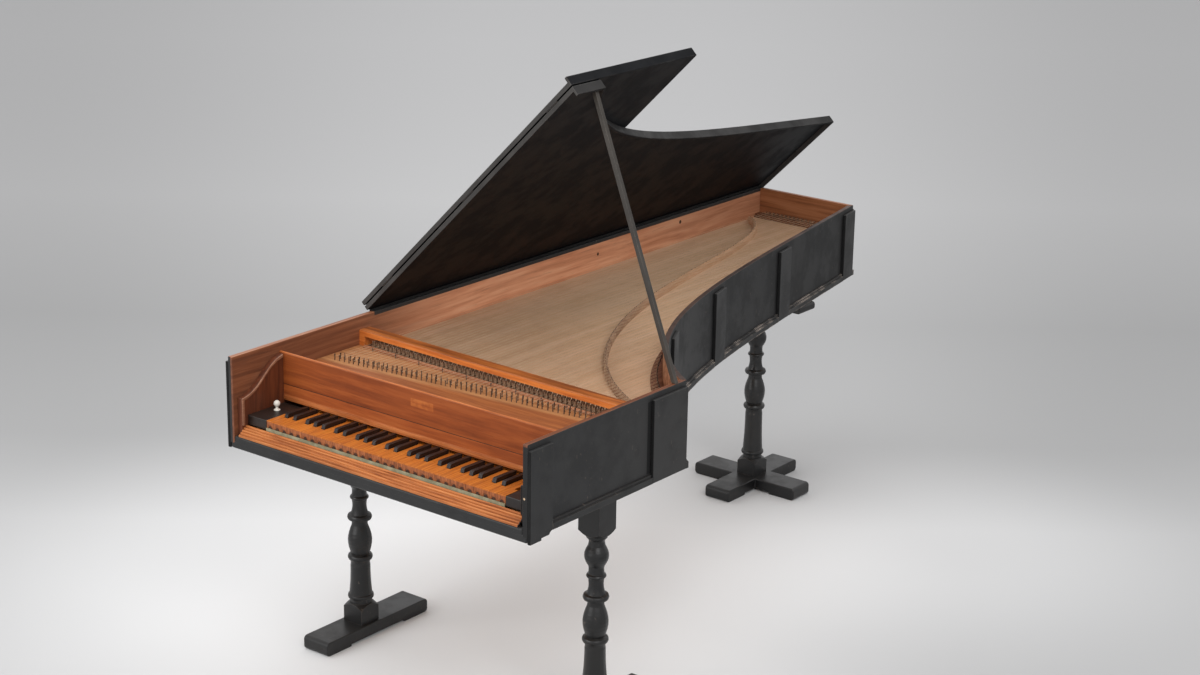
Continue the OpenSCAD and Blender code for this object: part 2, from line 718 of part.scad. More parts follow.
// Lever behind the nameboard: it splays out to the jacks and ends in the rack's slip
module rear_lever(i) {
    x = note_x(i);
    half = tail_slot_w(i % 12) / 2 - key_gap / 2;
    y0 = plate_end_y + glue_line;
    rear = lever_end_y + skew(jack_x(i));
    xr = slip_x(i);
    color(boxwood) difference() {
        union() {
            slab([[x - half, y0], [x + half, y0], [xr + rear_lever_w / 2, rear],
                [xr - rear_lever_w / 2, rear]], lever_z0, lever_z1);
            box(xr - slip_w / 2, xr + slip_w / 2, rear - 6, rear + slip_l, lever_z0 + 2,
                lever_z1 - 4);
        }
        rod(pin_x(i), balance_y + skew(pin_x(i)), lever_z0 - 1, lever_z1 + 1,
            balance_hole_r);
    }
}
// One key in glued lengths: a natural's head, the shank in front of the nameboard with
// its plate or its sharp, and the rear lever
module key(i) {
    p = i % 12;
    x = note_x(i);
    half = tail_slot_w(p) / 2 - key_gap / 2;
    if (is_sharp(p)) union() {
        color(boxwood) box(x - half, x + half, toe_y, plate_end_y, lever_z0, lever_z1);
        color("#2a2320") translate([x - sharp_w / 2, 0, 0]) rotate([90, 0, 90])
            linear_extrude(sharp_w) polygon(sharp_side);
    } else {
        natural_head(octave_x(i) + natural_index[p] * natural_w);
        color(boxwood) box(x - half, x + half, head_end_y, plate_end_y, lever_z0, key_top_z);
    }
    rear_lever(i);
}
module keys(p) {
    for (i = [p : 12 : NOTES - 1]) key(i);
}
tongue_w = 2.6;
tongue_z = 138;
tongue_gap = 0.4;
// One jack: body with its tongue, plectrum and damper, all on the given side
module jack(x, y, side) {
    half = jack_w / 2;
    tip = string_off - string_r - half - 0.15;
    damper = 1.6;
    damper_h = 6;
    color(boxwood) union() {
        difference() {
            box(x - half, x + half, y - jack_t / 2, y + jack_t / 2, lever_z1 + seat,
                jack_top_z);
            box(x - tongue_w / 2 - tongue_gap, x + tongue_w / 2 + tongue_gap,
                y - jack_t, y + jack_t, tongue_z, jack_top_z + 1);
        }
        box(x - tongue_w / 2, x + tongue_w / 2, y - jack_t / 2 + 0.6, y + jack_t / 2 - 0.6,
            tongue_z - 1, jack_top_z - 4);
        translate([x + side * (half + tip / 2 - 0.1), y, string_z - 3])
            cube([tip + 0.2, 1.2, 0.6], center = true);
        translate([x + side * (half + damper / 2 - 0.1), y,
            string_z + string_r + seat + damper_h / 2])
            cube([damper + 0.2, 1.4, damper_h], center = true);
    }
}
module jacks(p) {
    for (i = [p : 12 : NOTES - 1]) {
        x = jack_x(i);
        jack(x, jack_row_y + skew(x), -1);
        jack(x, row_b_y + skew(x), 1);
    }
}

// Lid: drawn closed, then turned about the hinge line to its propped angle
module opened() {
    translate([hinge_x, 0, hinge_z]) rotate([0, -lid_open, 0])
        translate([-hinge_x, 0, -hinge_z]) children();
}
// Flap: drawn closed, then folded back onto the lid's outer face
module folded() {
    translate([0, fold_y, fold_z]) rotate([180, 0, 0]) translate([0, -fold_y, -fold_z])
        children();
}
module lid_panel() {
    lip_z = lid_z0 - lip_d;
    inner = -lip_gap;
    outer = -lip_out;
    y0 = fold_y + fold_gap / 2;
    color(black) opened() union() {
        slab(plan(0, outer, y0), lid_z0, lid_z1);
        slab(concat([[case_w - inner, y0], [case_w - outer, y0]], bent_line(outer),
            [[0, case_l - outer], [0, case_l - inner]], backwards(bent_line(inner))),
            lip_z, lid_z0 + 1);
    }
}
module lid_flap() {
    lip_z = lid_z0 - lip_d;
    y1 = fold_y - fold_gap / 2;
    x1 = case_w + lip_out;
    color(black) opened() folded() union() {
        box(0, x1, -lip_out, y1, lid_z0, lid_z1);
        box(0, x1, -lip_out, -lip_gap, lip_z, lid_z0 + 1);
        box(case_w + lip_gap, x1, -lip_out, y1, lip_z, lid_z0 + 1);
    }
}
hinge_len = 70;
hinge_r = 2.6;
hinge_share = [0.2736, 0.5296, 0.7855];
// Hinges of the lid: iron knuckles along the spine with their leaves below
module lid_hinges() {
    color(iron) for (s = hinge_share) let (y = s * case_l) {
        translate([hinge_x, y, hinge_z]) rotate([-90, 0, 0])
            cylinder(r = hinge_r, h = hinge_len);
        box(hinge_x + hinge_r - 0.1, 0, y, y + hinge_len, hinge_z - 2.5, hinge_z - 0.4);
        box(-1.4, 0, y, y + hinge_len, hinge_z - 13, hinge_z - 0.4);
    }
}
flap_hinge_x = [96, 480, 850];
// Hinges of the flap: knuckles on the fold line, each with a strap on the lid
module flap_hinges() {
    color(iron) opened() for (x = flap_hinge_x) {
        translate([x, fold_y, fold_z]) rotate([0, 90, 0]) cylinder(r = 1.2, h = 46);
        box(x, x + 46, fold_y, fold_y + 2.2, lid_z1, fold_z + 0.9);
    }
}
prop_foot_y = 550;
prop_top_y = 578;
prop_top_s = case_w - 12;
// Prop stick: from the top of the cheek to the lid's underside, cut to both
module prop_stick() {
    foot = [case_w - wall_t / 2, prop_foot_y, case_h];
    top = [hinge_x + (prop_top_s - hinge_x) * cos(lid_open), prop_top_y,
        hinge_z + (prop_top_s - hinge_x) * sin(lid_open)];
    run = top - foot;
    lean = atan2(norm([run[0], run[1]]), run[2]);
    turn = atan2(run[1], run[0]);
    spare = 40;
    color(black) difference() {
        translate(foot) rotate([0, lean, turn]) rotate([0, 0, -turn])
            translate([-prop_w / 2, -prop_w / 2, -spare])
                cube([prop_w, prop_w, norm(run) + 2 * spare]);
        box(0, 2 * case_w, 0, case_l, -1, case_h + seat);
        opened() box(-10, 2 * case_w, 0, case_l, lid_z0 - seat, lid_z0 + case_h);
    }
}

// Stand: rows of [depth below the case, radius, swell up to the next row]
turning = [[123, 27, 0], [130, 26, -3], [146, 20, 0], [152, 21, 9.5], [204, 20, 0],
    [208, 19, -0.5], [224, 20, 0], [226, 23, 1.5], [233, 23, 0], [235, 20, -3],
    [276, 23, 0], [278, 30, 2], [290, 30, 0], [292, 21, -0.5], [306, 21, 9],
    [386, 24, 0], [389, 30.5, 2], [401, 30.5, 0], [403, 26, -1], [418, 26, -1],
    [498, 30, 0], [500, 33, 1], [509, 33, 0], [511, 28, 0], [522, 28, 0]];
shaft_foot = 450;
foot_top = floor_h - foot_h;
// Height from the feet to the case for which the rows above are drawn
turning_h = 574;
leg_scale = foot_top / turning_h;
block_top = turning[0][0] * leg_scale;
block_foot = turning[len(turning) - 1][0] * leg_scale;
swell_steps = 8;
function lifted(lift) = [for (row = turning)
    [row[0] * leg_scale - (row[0] < shaft_foot ? lift : 0), row[1], row[2]]];
// Half section of a turned leg, from its top block down to its foot block
function turned_line(rows) = concat([[0, -rows[0][0]]],
    [for (k = [0 : len(rows) - 2], j = [0 : swell_steps - 1])
        let (a = rows[k], b = rows[k + 1], u = j / swell_steps)
        if (a[2] != 0 || j == 0)
            [a[1] + (b[1] - a[1]) * u + a[2] * sin(180 * u), -a[0] - (b[0] - a[0]) * u]],
    [[rows[len(rows) - 1][1], -block_foot], [0, -block_foot]]);
// Square block whose corners the lathe has cut round at one end
module leg_block(z_flat, z_turned) {
    half = block_w / 2;
    corner = half * sqrt(2) + 1;
    end_r = half * 0.95;
    side = sign(z_flat - z_turned);
    intersection() {
        translate([-half, -half, min(z_flat, z_turned)])
            cube([block_w, block_w, abs(z_flat - z_turned)]);
        rotate_extrude() polygon([[0, z_turned], [end_r, z_turned],
            [corner, z_turned + side * (corner - end_r) * 0.8], [corner, z_flat],
            [0, z_flat]]);
    }
}
module turned_leg(x, y, lift = 0) {
    color(black) translate([x, y, 0]) union() {
        leg_block(-bearer_t, -block_top + lift);
        rotate_extrude() polygon(turned_line(lifted(lift)));
        leg_block(-foot_top, -block_foot);
    }
}
front_leg_x = [leg_x, case_w - leg_x];
module turned_legs() {
    for (x = front_leg_x) turned_leg(x, leg_y);
    turned_leg(rear_leg_x, rear_leg_y, rear_lift);
}
// Bar with rounded ends, resting at z = 0; its length runs along Y before turning
module nosed_bar(l, w, h, nose, arch = 0, pad = 90) {
    rotate([90, 0, 90]) translate([0, 0, -w / 2]) linear_extrude(w) difference() {
        union() {
            translate([-l / 2 + nose, 0]) square([l - 2 * nose, h]);
            translate([-l / 2, nose]) square([l, h - 2 * nose]);
            for (y = [nose - l / 2, l / 2 - nose], z = [nose, h - nose])
                translate([y, z]) circle(r = nose);
        }
        if (arch > 0) translate([-l / 2 + pad, -1]) square([l - 2 * pad, arch + 1]);
    }
}
foot_shift = 20;
foot_arch = 6;
foot_nose = 11;
module foot_bar(x, y, turn, l) {
    translate([x, y, floor_z]) rotate([0, 0, turn])
        nosed_bar(l, foot_w, foot_h, foot_nose, foot_arch);
}
module leg_feet() {
    rear_l = foot_l - 12;
    color(black) {
        for (x = front_leg_x) foot_bar(x, leg_y + foot_shift, 0, foot_l);
        union() {
            foot_bar(rear_leg_x, rear_leg_y, 0, rear_l);
            foot_bar(rear_leg_x, rear_leg_y, 90, rear_l);
        }
    }
}
bearer_w = 80;
bearer_l = 256;
rear_bearer_l = 356;
bearer_nose = 9;
module bearers() {
    color(black) translate([0, 0, -bearer_t]) {
        for (x = front_leg_x) translate([x, leg_y - 12, 0])
            nosed_bar(bearer_l, bearer_w, bearer_t, bearer_nose);
        translate([rear_leg_x, rear_leg_y, 0]) rotate([0, 0, 90])
            nosed_bar(rear_bearer_l, bearer_w, bearer_t, bearer_nose);
    }
}

place() {
    bottom_board();
    spine_wall();
    cheek_wall();
    bentside_wall();
    tail_wall();
    base_moulding();
    front_rail();
    case_battens();
    inner_frame();
    endboards();
    scroll_mouldings();
    key_blocks();
    block_knob();
    key_slip();
    key_cloth();
    nameboard_upper();
    nameboard_lower();
    wrestplank();
    tuning_pins();
    nut();
    soundboard();
    bridge();
    hitch_rail();
    small_pins();
    strings();
    registers();
    jack_rail();
    key_frame();
    keys(0);  // key_c
    keys(1);  // key_cs
    keys(2);  // key_d
    keys(3);  // key_ds
    keys(4);  // key_e
    keys(5);  // key_f
    keys(6);  // key_fs
    keys(7);  // key_g
    keys(8);  // key_gs
    keys(9);  // key_a
    keys(10);  // key_as
    keys(11);  // key_b
    jacks(0);  // jack_c
    jacks(1);  // jack_cs
    jacks(2);  // jack_d
    jacks(3);  // jack_ds
    jacks(4);  // jack_e
    jacks(5);  // jack_f
    jacks(6);  // jack_fs
    jacks(7);  // jack_g
    jacks(8);  // jack_gs
    jacks(9);  // jack_a
    jacks(10);  // jack_as
    jacks(11);  // jack_b
    lid_panel();
    lid_flap();
    lid_hinges();
    flap_hinges();
    prop_stick();
    turned_legs();
    leg_feet();
    bearers();
}
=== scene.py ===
"""Dresses the wing-shaped keyboard instrument: paint, woods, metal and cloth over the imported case."""

from __future__ import annotations

import json
import logging
import math
import random
from collections.abc import Callable
from dataclasses import dataclass, field, replace
from enum import Enum
from functools import partial, reduce

import bmesh
import bpy
from mathutils import Matrix, Vector

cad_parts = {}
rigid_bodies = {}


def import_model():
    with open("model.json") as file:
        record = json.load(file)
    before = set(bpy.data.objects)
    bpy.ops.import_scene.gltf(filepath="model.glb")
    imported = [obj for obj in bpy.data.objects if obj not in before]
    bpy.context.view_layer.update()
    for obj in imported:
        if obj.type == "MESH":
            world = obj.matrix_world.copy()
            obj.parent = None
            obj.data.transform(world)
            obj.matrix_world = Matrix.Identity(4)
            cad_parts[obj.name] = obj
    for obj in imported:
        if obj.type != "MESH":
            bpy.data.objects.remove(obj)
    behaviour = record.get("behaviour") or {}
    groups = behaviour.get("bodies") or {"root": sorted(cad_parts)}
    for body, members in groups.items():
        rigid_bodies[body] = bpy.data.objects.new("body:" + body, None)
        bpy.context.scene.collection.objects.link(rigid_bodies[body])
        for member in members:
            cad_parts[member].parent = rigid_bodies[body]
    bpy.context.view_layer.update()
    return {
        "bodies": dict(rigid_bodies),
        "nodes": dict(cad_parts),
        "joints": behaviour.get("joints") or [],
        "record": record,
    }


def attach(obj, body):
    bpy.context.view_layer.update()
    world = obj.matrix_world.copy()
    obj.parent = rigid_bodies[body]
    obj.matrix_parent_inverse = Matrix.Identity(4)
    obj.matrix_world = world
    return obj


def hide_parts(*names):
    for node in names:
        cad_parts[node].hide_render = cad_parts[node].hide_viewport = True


log = logging.getLogger("instrument")

Colour = tuple[float, float, float]
Point = tuple[float, float, float]
Stops = list[tuple[float, Colour]]

ORIGIN_X = 465.05
ORIGIN_Y = 1137.75
FLOOR_H = 612.0
NOTE_NAMES = ("c", "cs", "d", "ds", "e", "f", "fs", "g", "gs", "a", "as", "b")
SHARP_NAMES = ("cs", "ds", "fs", "gs", "as")
WELD = 2e-6
FLAT_DEG = 0.4
SHARP_DEG = 32.0
BUMP_DEPTH = 0.0006
DUST_TONE = (0.36, 0.31, 0.26)


def at(x: float, y: float, z: float) -> Vector:
    """A point given in the case's millimetres, as metres in the row frame.

    Args:
        x: Distance from the spine's outer face towards the treble.
        y: Distance behind the case's front.
        z: Height above the case's underside.

    Returns:
        The point in the row frame.
    """
    return Vector(((x - ORIGIN_X) / 1000, (y - ORIGIN_Y) / 1000, (z + FLOOR_H) / 1000))


class Grain(Enum):
    """Direction in which the fibres of a board run, as a turn that lays them along X."""

    ACROSS_CASE = (0.0, 0.0, 0.0)
    ALONG_CASE = (0.0, 0.0, -math.pi / 2)
    UPRIGHT = (0.0, math.pi / 2, 0.0)


class Sheet:
    """Adds and links the nodes of one shader tree."""

    def __init__(self, tree: bpy.types.NodeTree) -> None:
        """Keeps the tree that the nodes go into."""
        self.tree = tree

    def feed(self, socket: bpy.types.NodeSocket, value: object) -> None:
        """Links a socket, or sets its constant.

        Args:
            socket: The input to fill.
            value: Another node's output, a number, a colour or a vector.
        """
        if isinstance(value, bpy.types.NodeSocket):
            self.tree.links.new(value, socket)
        elif isinstance(value, (tuple, list, Vector)) and socket.type == "RGBA":
            socket.default_value = (*value, 1.0)
        else:
            socket.default_value = value

    def node(self, kind: str, inputs: dict | None = None, **settings: object) -> bpy.types.Node:
        """Adds one node.

        Args:
            kind: The node's type.
            inputs: Values or links by the input's name or index.
            settings: Properties of the node itself.

        Returns:
            The new node.
        """
        made = self.tree.nodes.new(kind)
        for key, value in settings.items():
            setattr(made, key, value)
        for key, value in (inputs or {}).items():
            self.feed(made.inputs[key], value)
        return made

    def sum(self, operation: str, a: object, b: object = 0.0, clamp: bool = False) -> bpy.types.NodeSocket:
        """The result of one Math node on two values."""
        return self.node("ShaderNodeMath", {0: a, 1: b}, operation=operation, use_clamp=clamp).outputs[0]

    def times(self, a: object, b: object) -> bpy.types.NodeSocket:
        """The product of two values."""
        return self.sum("MULTIPLY", a, b)

    def blend(self, share: object, a: object, b: object, mode: str = "MIX") -> bpy.types.NodeSocket:
        """A colour mixed from a to b by a share."""
        made = self.node("ShaderNodeMix", {0: share, 6: a, 7: b}, data_type="RGBA", blend_type=mode)
        return made.outputs[2]

    def between(self, value: object, low: float, high: float, to_low: float = 0.0,
                to_high: float = 1.0) -> bpy.types.NodeSocket:
        """A value spread from one range to another and held at its ends."""
        return self.node("ShaderNodeMapRange", {0: value, 1: low, 2: high, 3: to_low, 4: to_high},
                         interpolation_type="SMOOTHSTEP").outputs[0]

    def noise(self, where: object, scale: float, detail: float = 3.0,
              rough: float = 0.55) -> bpy.types.NodeSocket:
        """The value of a noise texture at a place."""
        inputs = {"Vector": where, "Scale": scale, "Detail": detail, "Roughness": rough}
        return self.node("ShaderNodeTexNoise", inputs).outputs[0]

    def ramp(self, value: object, stops: Stops) -> bpy.types.NodeSocket:
        """A colour looked up between stops.

        Args:
            value: Where to look, from 0 to 1.
            stops: Positions with their colours, in order.

        Returns:
            The colour.
        """
        made = self.node("ShaderNodeValToRGB", {0: value})
        elements = made.color_ramp.elements
        while len(elements) < len(stops):
            elements.new(0.5)
        for element, (position, colour) in zip(elements, stops):
            element.position = position
            element.color = (*colour, 1.0)
        return made.outputs[0]

    def part(self, where: object, axis: int) -> bpy.types.NodeSocket:
        """One coordinate of a vector."""
        return self.node("ShaderNodeSeparateXYZ", {0: where}).outputs[axis]

    def along(self, where: object, direction: Vector) -> bpy.types.NodeSocket:
        """How far a vector reaches along a direction."""
        made = self.node("ShaderNodeVectorMath", {0: where, 1: direction}, operation="DOT_PRODUCT")
        return made.outputs["Value"]


class Effects:
    """The node groups that several finishes share, each built once."""

    def __init__(self) -> None:
        """Builds every shared group."""
        self.grain = self._grain()
        self.clouds = self._clouds()
        self.edges = self._edges()
        self.dust = self._dust()

    @staticmethod
    def _group(name: str, takes: dict[str, str], gives: tuple[str, ...]) -> tuple[Sheet, dict, dict]:
        """Starts a shader group.

        Args:
            name: The group's name.
            takes: Input names with their socket types.
            gives: Output names, all plain values.

        Returns:
            The group's sheet, its inputs by name and its output sockets by name.
        """
        tree = bpy.data.node_groups.new(name, "ShaderNodeTree")
        for key, kind in takes.items():
            tree.interface.new_socket(name=key, in_out="INPUT", socket_type=kind)
        for key in gives:
            tree.interface.new_socket(name=key, in_out="OUTPUT", socket_type="NodeSocketFloat")
        start = tree.nodes.new("NodeGroupInput")
        end = tree.nodes.new("NodeGroupOutput")
        return Sheet(tree), {k: start.outputs[k] for k in takes}, {k: end.inputs[k] for k in gives}

    def _grain(self) -> bpy.types.NodeTree:
        """Streaks, broad figure and fine pores of a planed board.

        Returns:
            The group.
        """
        takes = {"Coordinate": "NodeSocketVector", "Length": "NodeSocketFloat",
                 "Across": "NodeSocketFloat"}
        sheet, inside, out = self._group("wood grain", takes, ("Streak", "Figure", "Pore"))
        warp = sheet.node("ShaderNodeTexNoise", {"Vector": inside["Coordinate"], "Scale": 2.2,
                                                 "Detail": 2.0}).outputs[1]
        swayed = sheet.node("ShaderNodeVectorMath", {0: warp, 1: (0.03, 0.03, 0.03)},
                            operation="MULTIPLY_ADD")
        sheet.feed(swayed.inputs[2], inside["Coordinate"])
        size = sheet.node("ShaderNodeCombineXYZ", {0: inside["Length"], 1: inside["Across"],
                                                   2: inside["Across"]})
        drawn = sheet.node("ShaderNodeVectorMath", {0: swayed.outputs[0], 1: size.outputs[0]},
                           operation="MULTIPLY").outputs[0]
        streak = sheet.noise(drawn, 1.0, 6.0, 0.62)
        figure = sheet.noise(drawn, 0.16, 2.0, 0.5)
        pore = sheet.noise(drawn, 5.5, 2.0, 0.5)
        sheet.feed(out["Streak"], sheet.between(streak, 0.28, 0.72))
        sheet.feed(out["Figure"], sheet.between(figure, 0.3, 0.7))
        sheet.feed(out["Pore"], sheet.between(pore, 0.6, 0.74))
        return sheet.tree

    def _clouds(self) -> bpy.types.NodeTree:
        """Broad clouding, small specks and faint scratches of an old surface.

        Returns:
            The group.
        """
        takes = {"Coordinate": "NodeSocketVector", "Scale": "NodeSocketFloat"}
        sheet, inside, out = self._group("clouding", takes, ("Cloud", "Speck", "Scratch"))
        sized = sheet.node("ShaderNodeVectorMath", {0: inside["Coordinate"]}, operation="SCALE")
        sheet.feed(sized.inputs["Scale"], inside["Scale"])
        where = sized.outputs[0]
        sheet.feed(out["Cloud"], sheet.between(sheet.noise(where, 1.0, 5.0, 0.6), 0.35, 0.68))
        sheet.feed(out["Speck"], sheet.between(sheet.noise(where, 34.0, 2.0, 0.5), 0.66, 0.76))
        drawn = sheet.node("ShaderNodeMapping", {0: where, 2: (0.0, 0.3, 0.5), 3: (3.0, 60.0, 26.0)})
        lines = sheet.between(sheet.noise(drawn.outputs[0], 1.0, 1.0, 0.4), 0.68, 0.76)
        broken = sheet.between(sheet.noise(where, 7.0, 1.0), 0.5, 0.62)
        sheet.feed(out["Scratch"], sheet.times(lines, broken))
        return sheet.tree

    def _edges(self) -> bpy.types.NodeTree:
        """Broken wear along the arrises, read from a rounded normal.

        Returns:
            The group.
        """
        takes = {"Coordinate": "NodeSocketVector", "Radius": "NodeSocketFloat"}
        sheet, inside, out = self._group("edge wear", takes, ("Edge",))
        rounded = sheet.node("ShaderNodeBevel", {0: inside["Radius"]}, samples=5)
        true = sheet.node("ShaderNodeNewGeometry").outputs["Normal"]
        near = sheet.node("ShaderNodeVectorMath", {0: rounded.outputs[0], 1: true},
                          operation="DOT_PRODUCT").outputs["Value"]
        turned = sheet.between(near, 0.985, 0.86)
        patchy = sheet.between(sheet.noise(inside["Coordinate"], 13.0, 5.0, 0.7), 0.38, 0.66)
        sheet.feed(out["Edge"], sheet.times(turned, patchy))
        return sheet.tree

    def _dust(self) -> bpy.types.NodeTree:
        """Thin dust that lies on what faces up.

        Returns:
            The group.
        """
        takes = {"Coordinate": "NodeSocketVector", "Facing": "NodeSocketVector"}
        sheet, inside, out = self._group("dust", takes, ("Dust",))
        up = sheet.between(sheet.part(inside["Facing"], 2), 0.55, 0.98)
        patchy = sheet.between(sheet.noise(inside["Coordinate"], 9.0, 5.0, 0.65), 0.3, 0.75)
        sheet.feed(out["Dust"], sheet.times(up, patchy))
        return sheet.tree


@dataclass
class Coat:
    """What a layer of a finish hands to the shader: colour, roughness and height."""

    colour: object
    rough: object
    height: object


@dataclass
class Ground:
    """The sheet of a material in the making, with the coordinates its layers read."""

    sheet: Sheet
    effects: Effects
    place: bpy.types.NodeSocket = field(init=False)
    facing: bpy.types.NodeSocket = field(init=False)

    def __post_init__(self) -> None:
        """Adds the object coordinates and normals."""
        source = self.sheet.node("ShaderNodeTexCoord")
        self.place = source.outputs["Object"]
        self.facing = source.outputs["Normal"]

    def effect(self, tree: bpy.types.NodeTree, **inputs: object) -> bpy.types.Node:
        """Places a shared group and fills its inputs.

        Args:
            tree: The group.
            inputs: Values or links by the input's name.

        Returns:
            The group's node.
        """
        made = self.sheet.node("ShaderNodeGroup", node_tree=tree)
        for key, value in {"Coordinate": self.place, **inputs}.items():
            self.sheet.feed(made.inputs[key], value)
        return made


@dataclass(frozen=True)
class Wood:
    """A planed and oiled wood: its three tones, grain direction and surface."""

    dark: Colour
    middle: Colour
    pale: Colour
    grain: Grain = Grain.ALONG_CASE
    length: float = 5.0
    across: float = 90.0
    rough: float = 0.42
    figure: float = 0.45
    pores: float = 0.35
    relief: float = 0.25
    worn: Colour = (0.42, 0.24, 0.14)
    wear: float = 0.35
    wear_radius: float = 0.0022
    gloss: float = 0.4
    cloud: float = 0.22

    def coat(self, ground: Ground) -> Coat:
        """The wood's layer.

        Args:
            ground: The material's sheet and coordinates.

        Returns:
            Its colour, roughness and height.
        """
        sheet = ground.sheet
        turned = sheet.node("ShaderNodeMapping", {0: ground.place, 2: self.grain.value}).outputs[0]
        fibres = ground.effect(ground.effects.grain, Coordinate=turned, Length=self.length,
                               Across=self.across)
        streak, figure, pore = fibres.outputs
        colour = sheet.ramp(streak, [(0.1, self.dark), (0.5, self.middle), (0.92, self.pale)])
        shade = tuple(0.5 * c for c in self.middle)
        colour = sheet.blend(sheet.times(figure, self.figure), colour, shade)
        colour = sheet.blend(sheet.times(pore, self.pores), colour,
                             tuple(0.3 * c for c in self.dark))
        cloud = ground.effect(ground.effects.clouds, Scale=4.0).outputs["Cloud"]
        colour = sheet.blend(sheet.times(cloud, self.cloud), colour, self.pale)
        rough = sheet.between(streak, 0.0, 1.0, self.rough + 0.1, self.rough - 0.05)
        height = sheet.sum("SUBTRACT", sheet.times(streak, 0.5), sheet.times(pore, 0.9))
        return Coat(colour, rough, height)


@dataclass(frozen=True)
class Paint:
    """Old brushed paint: clouded, scratched and rubbed through along its edges."""

    base: Colour = (0.030, 0.030, 0.031)
    cloud: Colour = (0.052, 0.047, 0.042)
    worn: Colour = (0.30, 0.24, 0.20)
    wear: float = 0.55
    wear_radius: float = 0.0025
    rough: float = 0.42
    relief: float = 0.25
    gloss: float = 0.45
    marks: float = 1.0

    def coat(self, ground: Ground) -> Coat:
        """The paint's layer.

        Args:
            ground: The material's sheet and coordinates.

        Returns:
            Its colour, roughness and height.
        """
        sheet = ground.sheet
        broad = ground.effect(ground.effects.clouds, Scale=3.1)
        fine = ground.effect(ground.effects.clouds, Scale=11.0)
        colour = sheet.blend(broad.outputs["Cloud"], self.base, self.cloud)
        colour = sheet.blend(sheet.times(fine.outputs["Cloud"], 0.4), colour,
                             tuple(0.6 * c for c in self.base))
        colour = sheet.blend(sheet.times(broad.outputs["Scratch"], 0.5 * self.marks), colour,
                             tuple(0.35 * c for c in self.worn))
        specks = sheet.times(fine.outputs["Speck"], 0.12 * self.marks)
        colour = sheet.blend(specks, colour, self.worn)
        rough = sheet.between(fine.outputs["Cloud"], 0.0, 1.0, self.rough, self.rough + 0.16)
        brushed = sheet.node("ShaderNodeMapping", {0: ground.place, 3: (9.0, 9.0, 9.0)}).outputs[0]
        height = sheet.sum("ADD", sheet.noise(brushed, 4.0, 5.0, 0.6),
                           sheet.times(broad.outputs["Scratch"], -0.6))
        return Coat(colour, rough, height)


@dataclass(frozen=True)
class Metal:
    """Iron or brass with dull patches."""

    base: Colour
    dull: Colour
    metallic: float = 1.0
    rough: float = 0.35
    relief: float = 0.2
    worn: Colour = (0.5, 0.46, 0.4)
    wear: float = 0.1
    wear_radius: float = 0.0006
    gloss: float = 0.5

    def coat(self, ground: Ground) -> Coat:
        """The metal's layer.

        Args:
            ground: The material's sheet and coordinates.

        Returns:
            Its colour, roughness and height.
        """
        sheet = ground.sheet
        patches = ground.effect(ground.effects.clouds, Scale=22.0)
        colour = sheet.blend(patches.outputs["Cloud"], self.base, self.dull)
        rough = sheet.between(patches.outputs["Cloud"], 0.0, 1.0, self.rough, self.rough + 0.25)
        return Coat(colour, rough, sheet.noise(ground.place, 900.0, 3.0))


@dataclass(frozen=True)
class Felt:
    """Felted wool cloth with a visible nap."""

    base: Colour
    pale: Colour
    rough: float = 0.95
    relief: float = 0.8
    worn: Colour = (0.3, 0.3, 0.22)
    wear: float = 0.0
    wear_radius: float = 0.001
    gloss: float = 0.2

    def coat(self, ground: Ground) -> Coat:
        """The cloth's layer.

        Args:
            ground: The material's sheet and coordinates.

        Returns:
            Its colour, roughness and height.
        """
        sheet = ground.sheet
        nap = sheet.noise(ground.place, 1400.0, 4.0, 0.7)
        mottle = sheet.noise(ground.place, 40.0, 4.0, 0.6)
        colour = sheet.blend(sheet.times(sheet.between(mottle, 0.3, 0.7), nap), self.base,
                             self.pale)
        return Coat(colour, self.rough, nap)


Finish = Wood | Paint | Metal | Felt
Mask = Callable[[Ground], bpy.types.NodeSocket]
Layer = tuple[Finish, Mask | None]


def finish(effects: Effects, name: str, layers: list[Layer], dust: float = 0.0) -> bpy.types.Material:
    """Makes a material from layers, each over the last where its mask says.

    Args:
        effects: The shared groups.
        name: The material's name.
        layers: Finishes with their masks, the first without one.
        dust: How much dust lies on what faces up.

    Returns:
        The material.
    """
    material = bpy.data.materials.new(name)
    material.use_nodes = True
    material.node_tree.nodes.clear()
    sheet = Sheet(material.node_tree)
    ground = Ground(sheet, effects)
    first = layers[0][0]
    coat = first.coat(ground)
    wear: object = first.wear
    worn: object = first.worn
    for layer, mask in layers[1:]:
        share = mask(ground)
        over = layer.coat(ground)
        coat = Coat(sheet.blend(share, coat.colour, over.colour),
                    sheet.node("ShaderNodeMix", {0: share, 2: coat.rough, 3: over.rough}).outputs[0],
                    sheet.node("ShaderNodeMix", {0: share, 2: coat.height, 3: over.height}).outputs[0])
        wear = sheet.node("ShaderNodeMix", {0: share, 2: wear, 3: layer.wear}).outputs[0]
        worn = sheet.blend(share, worn, layer.worn)
    edge = ground.effect(effects.edges, Radius=first.wear_radius).outputs["Edge"]
    colour = sheet.blend(sheet.times(edge, wear), coat.colour, worn)
    if dust:
        lying = ground.effect(effects.dust, Facing=ground.facing).outputs["Dust"]
        colour = sheet.blend(sheet.times(lying, dust), colour, DUST_TONE)
    bump = sheet.node("ShaderNodeBump", {"Strength": first.relief, "Distance": BUMP_DEPTH,
                                         "Height": coat.height})
    shader = sheet.node("ShaderNodeBsdfPrincipled", {"Base Color": colour, "Roughness": coat.rough,
                                                     "Normal": bump.outputs[0]})
    shader.inputs["Specular IOR Level"].default_value = first.gloss
    if isinstance(first, Metal):
        shader.inputs["Metallic"].default_value = first.metallic
    sheet.node("ShaderNodeOutputMaterial", {0: shader.outputs[0]})
    return material


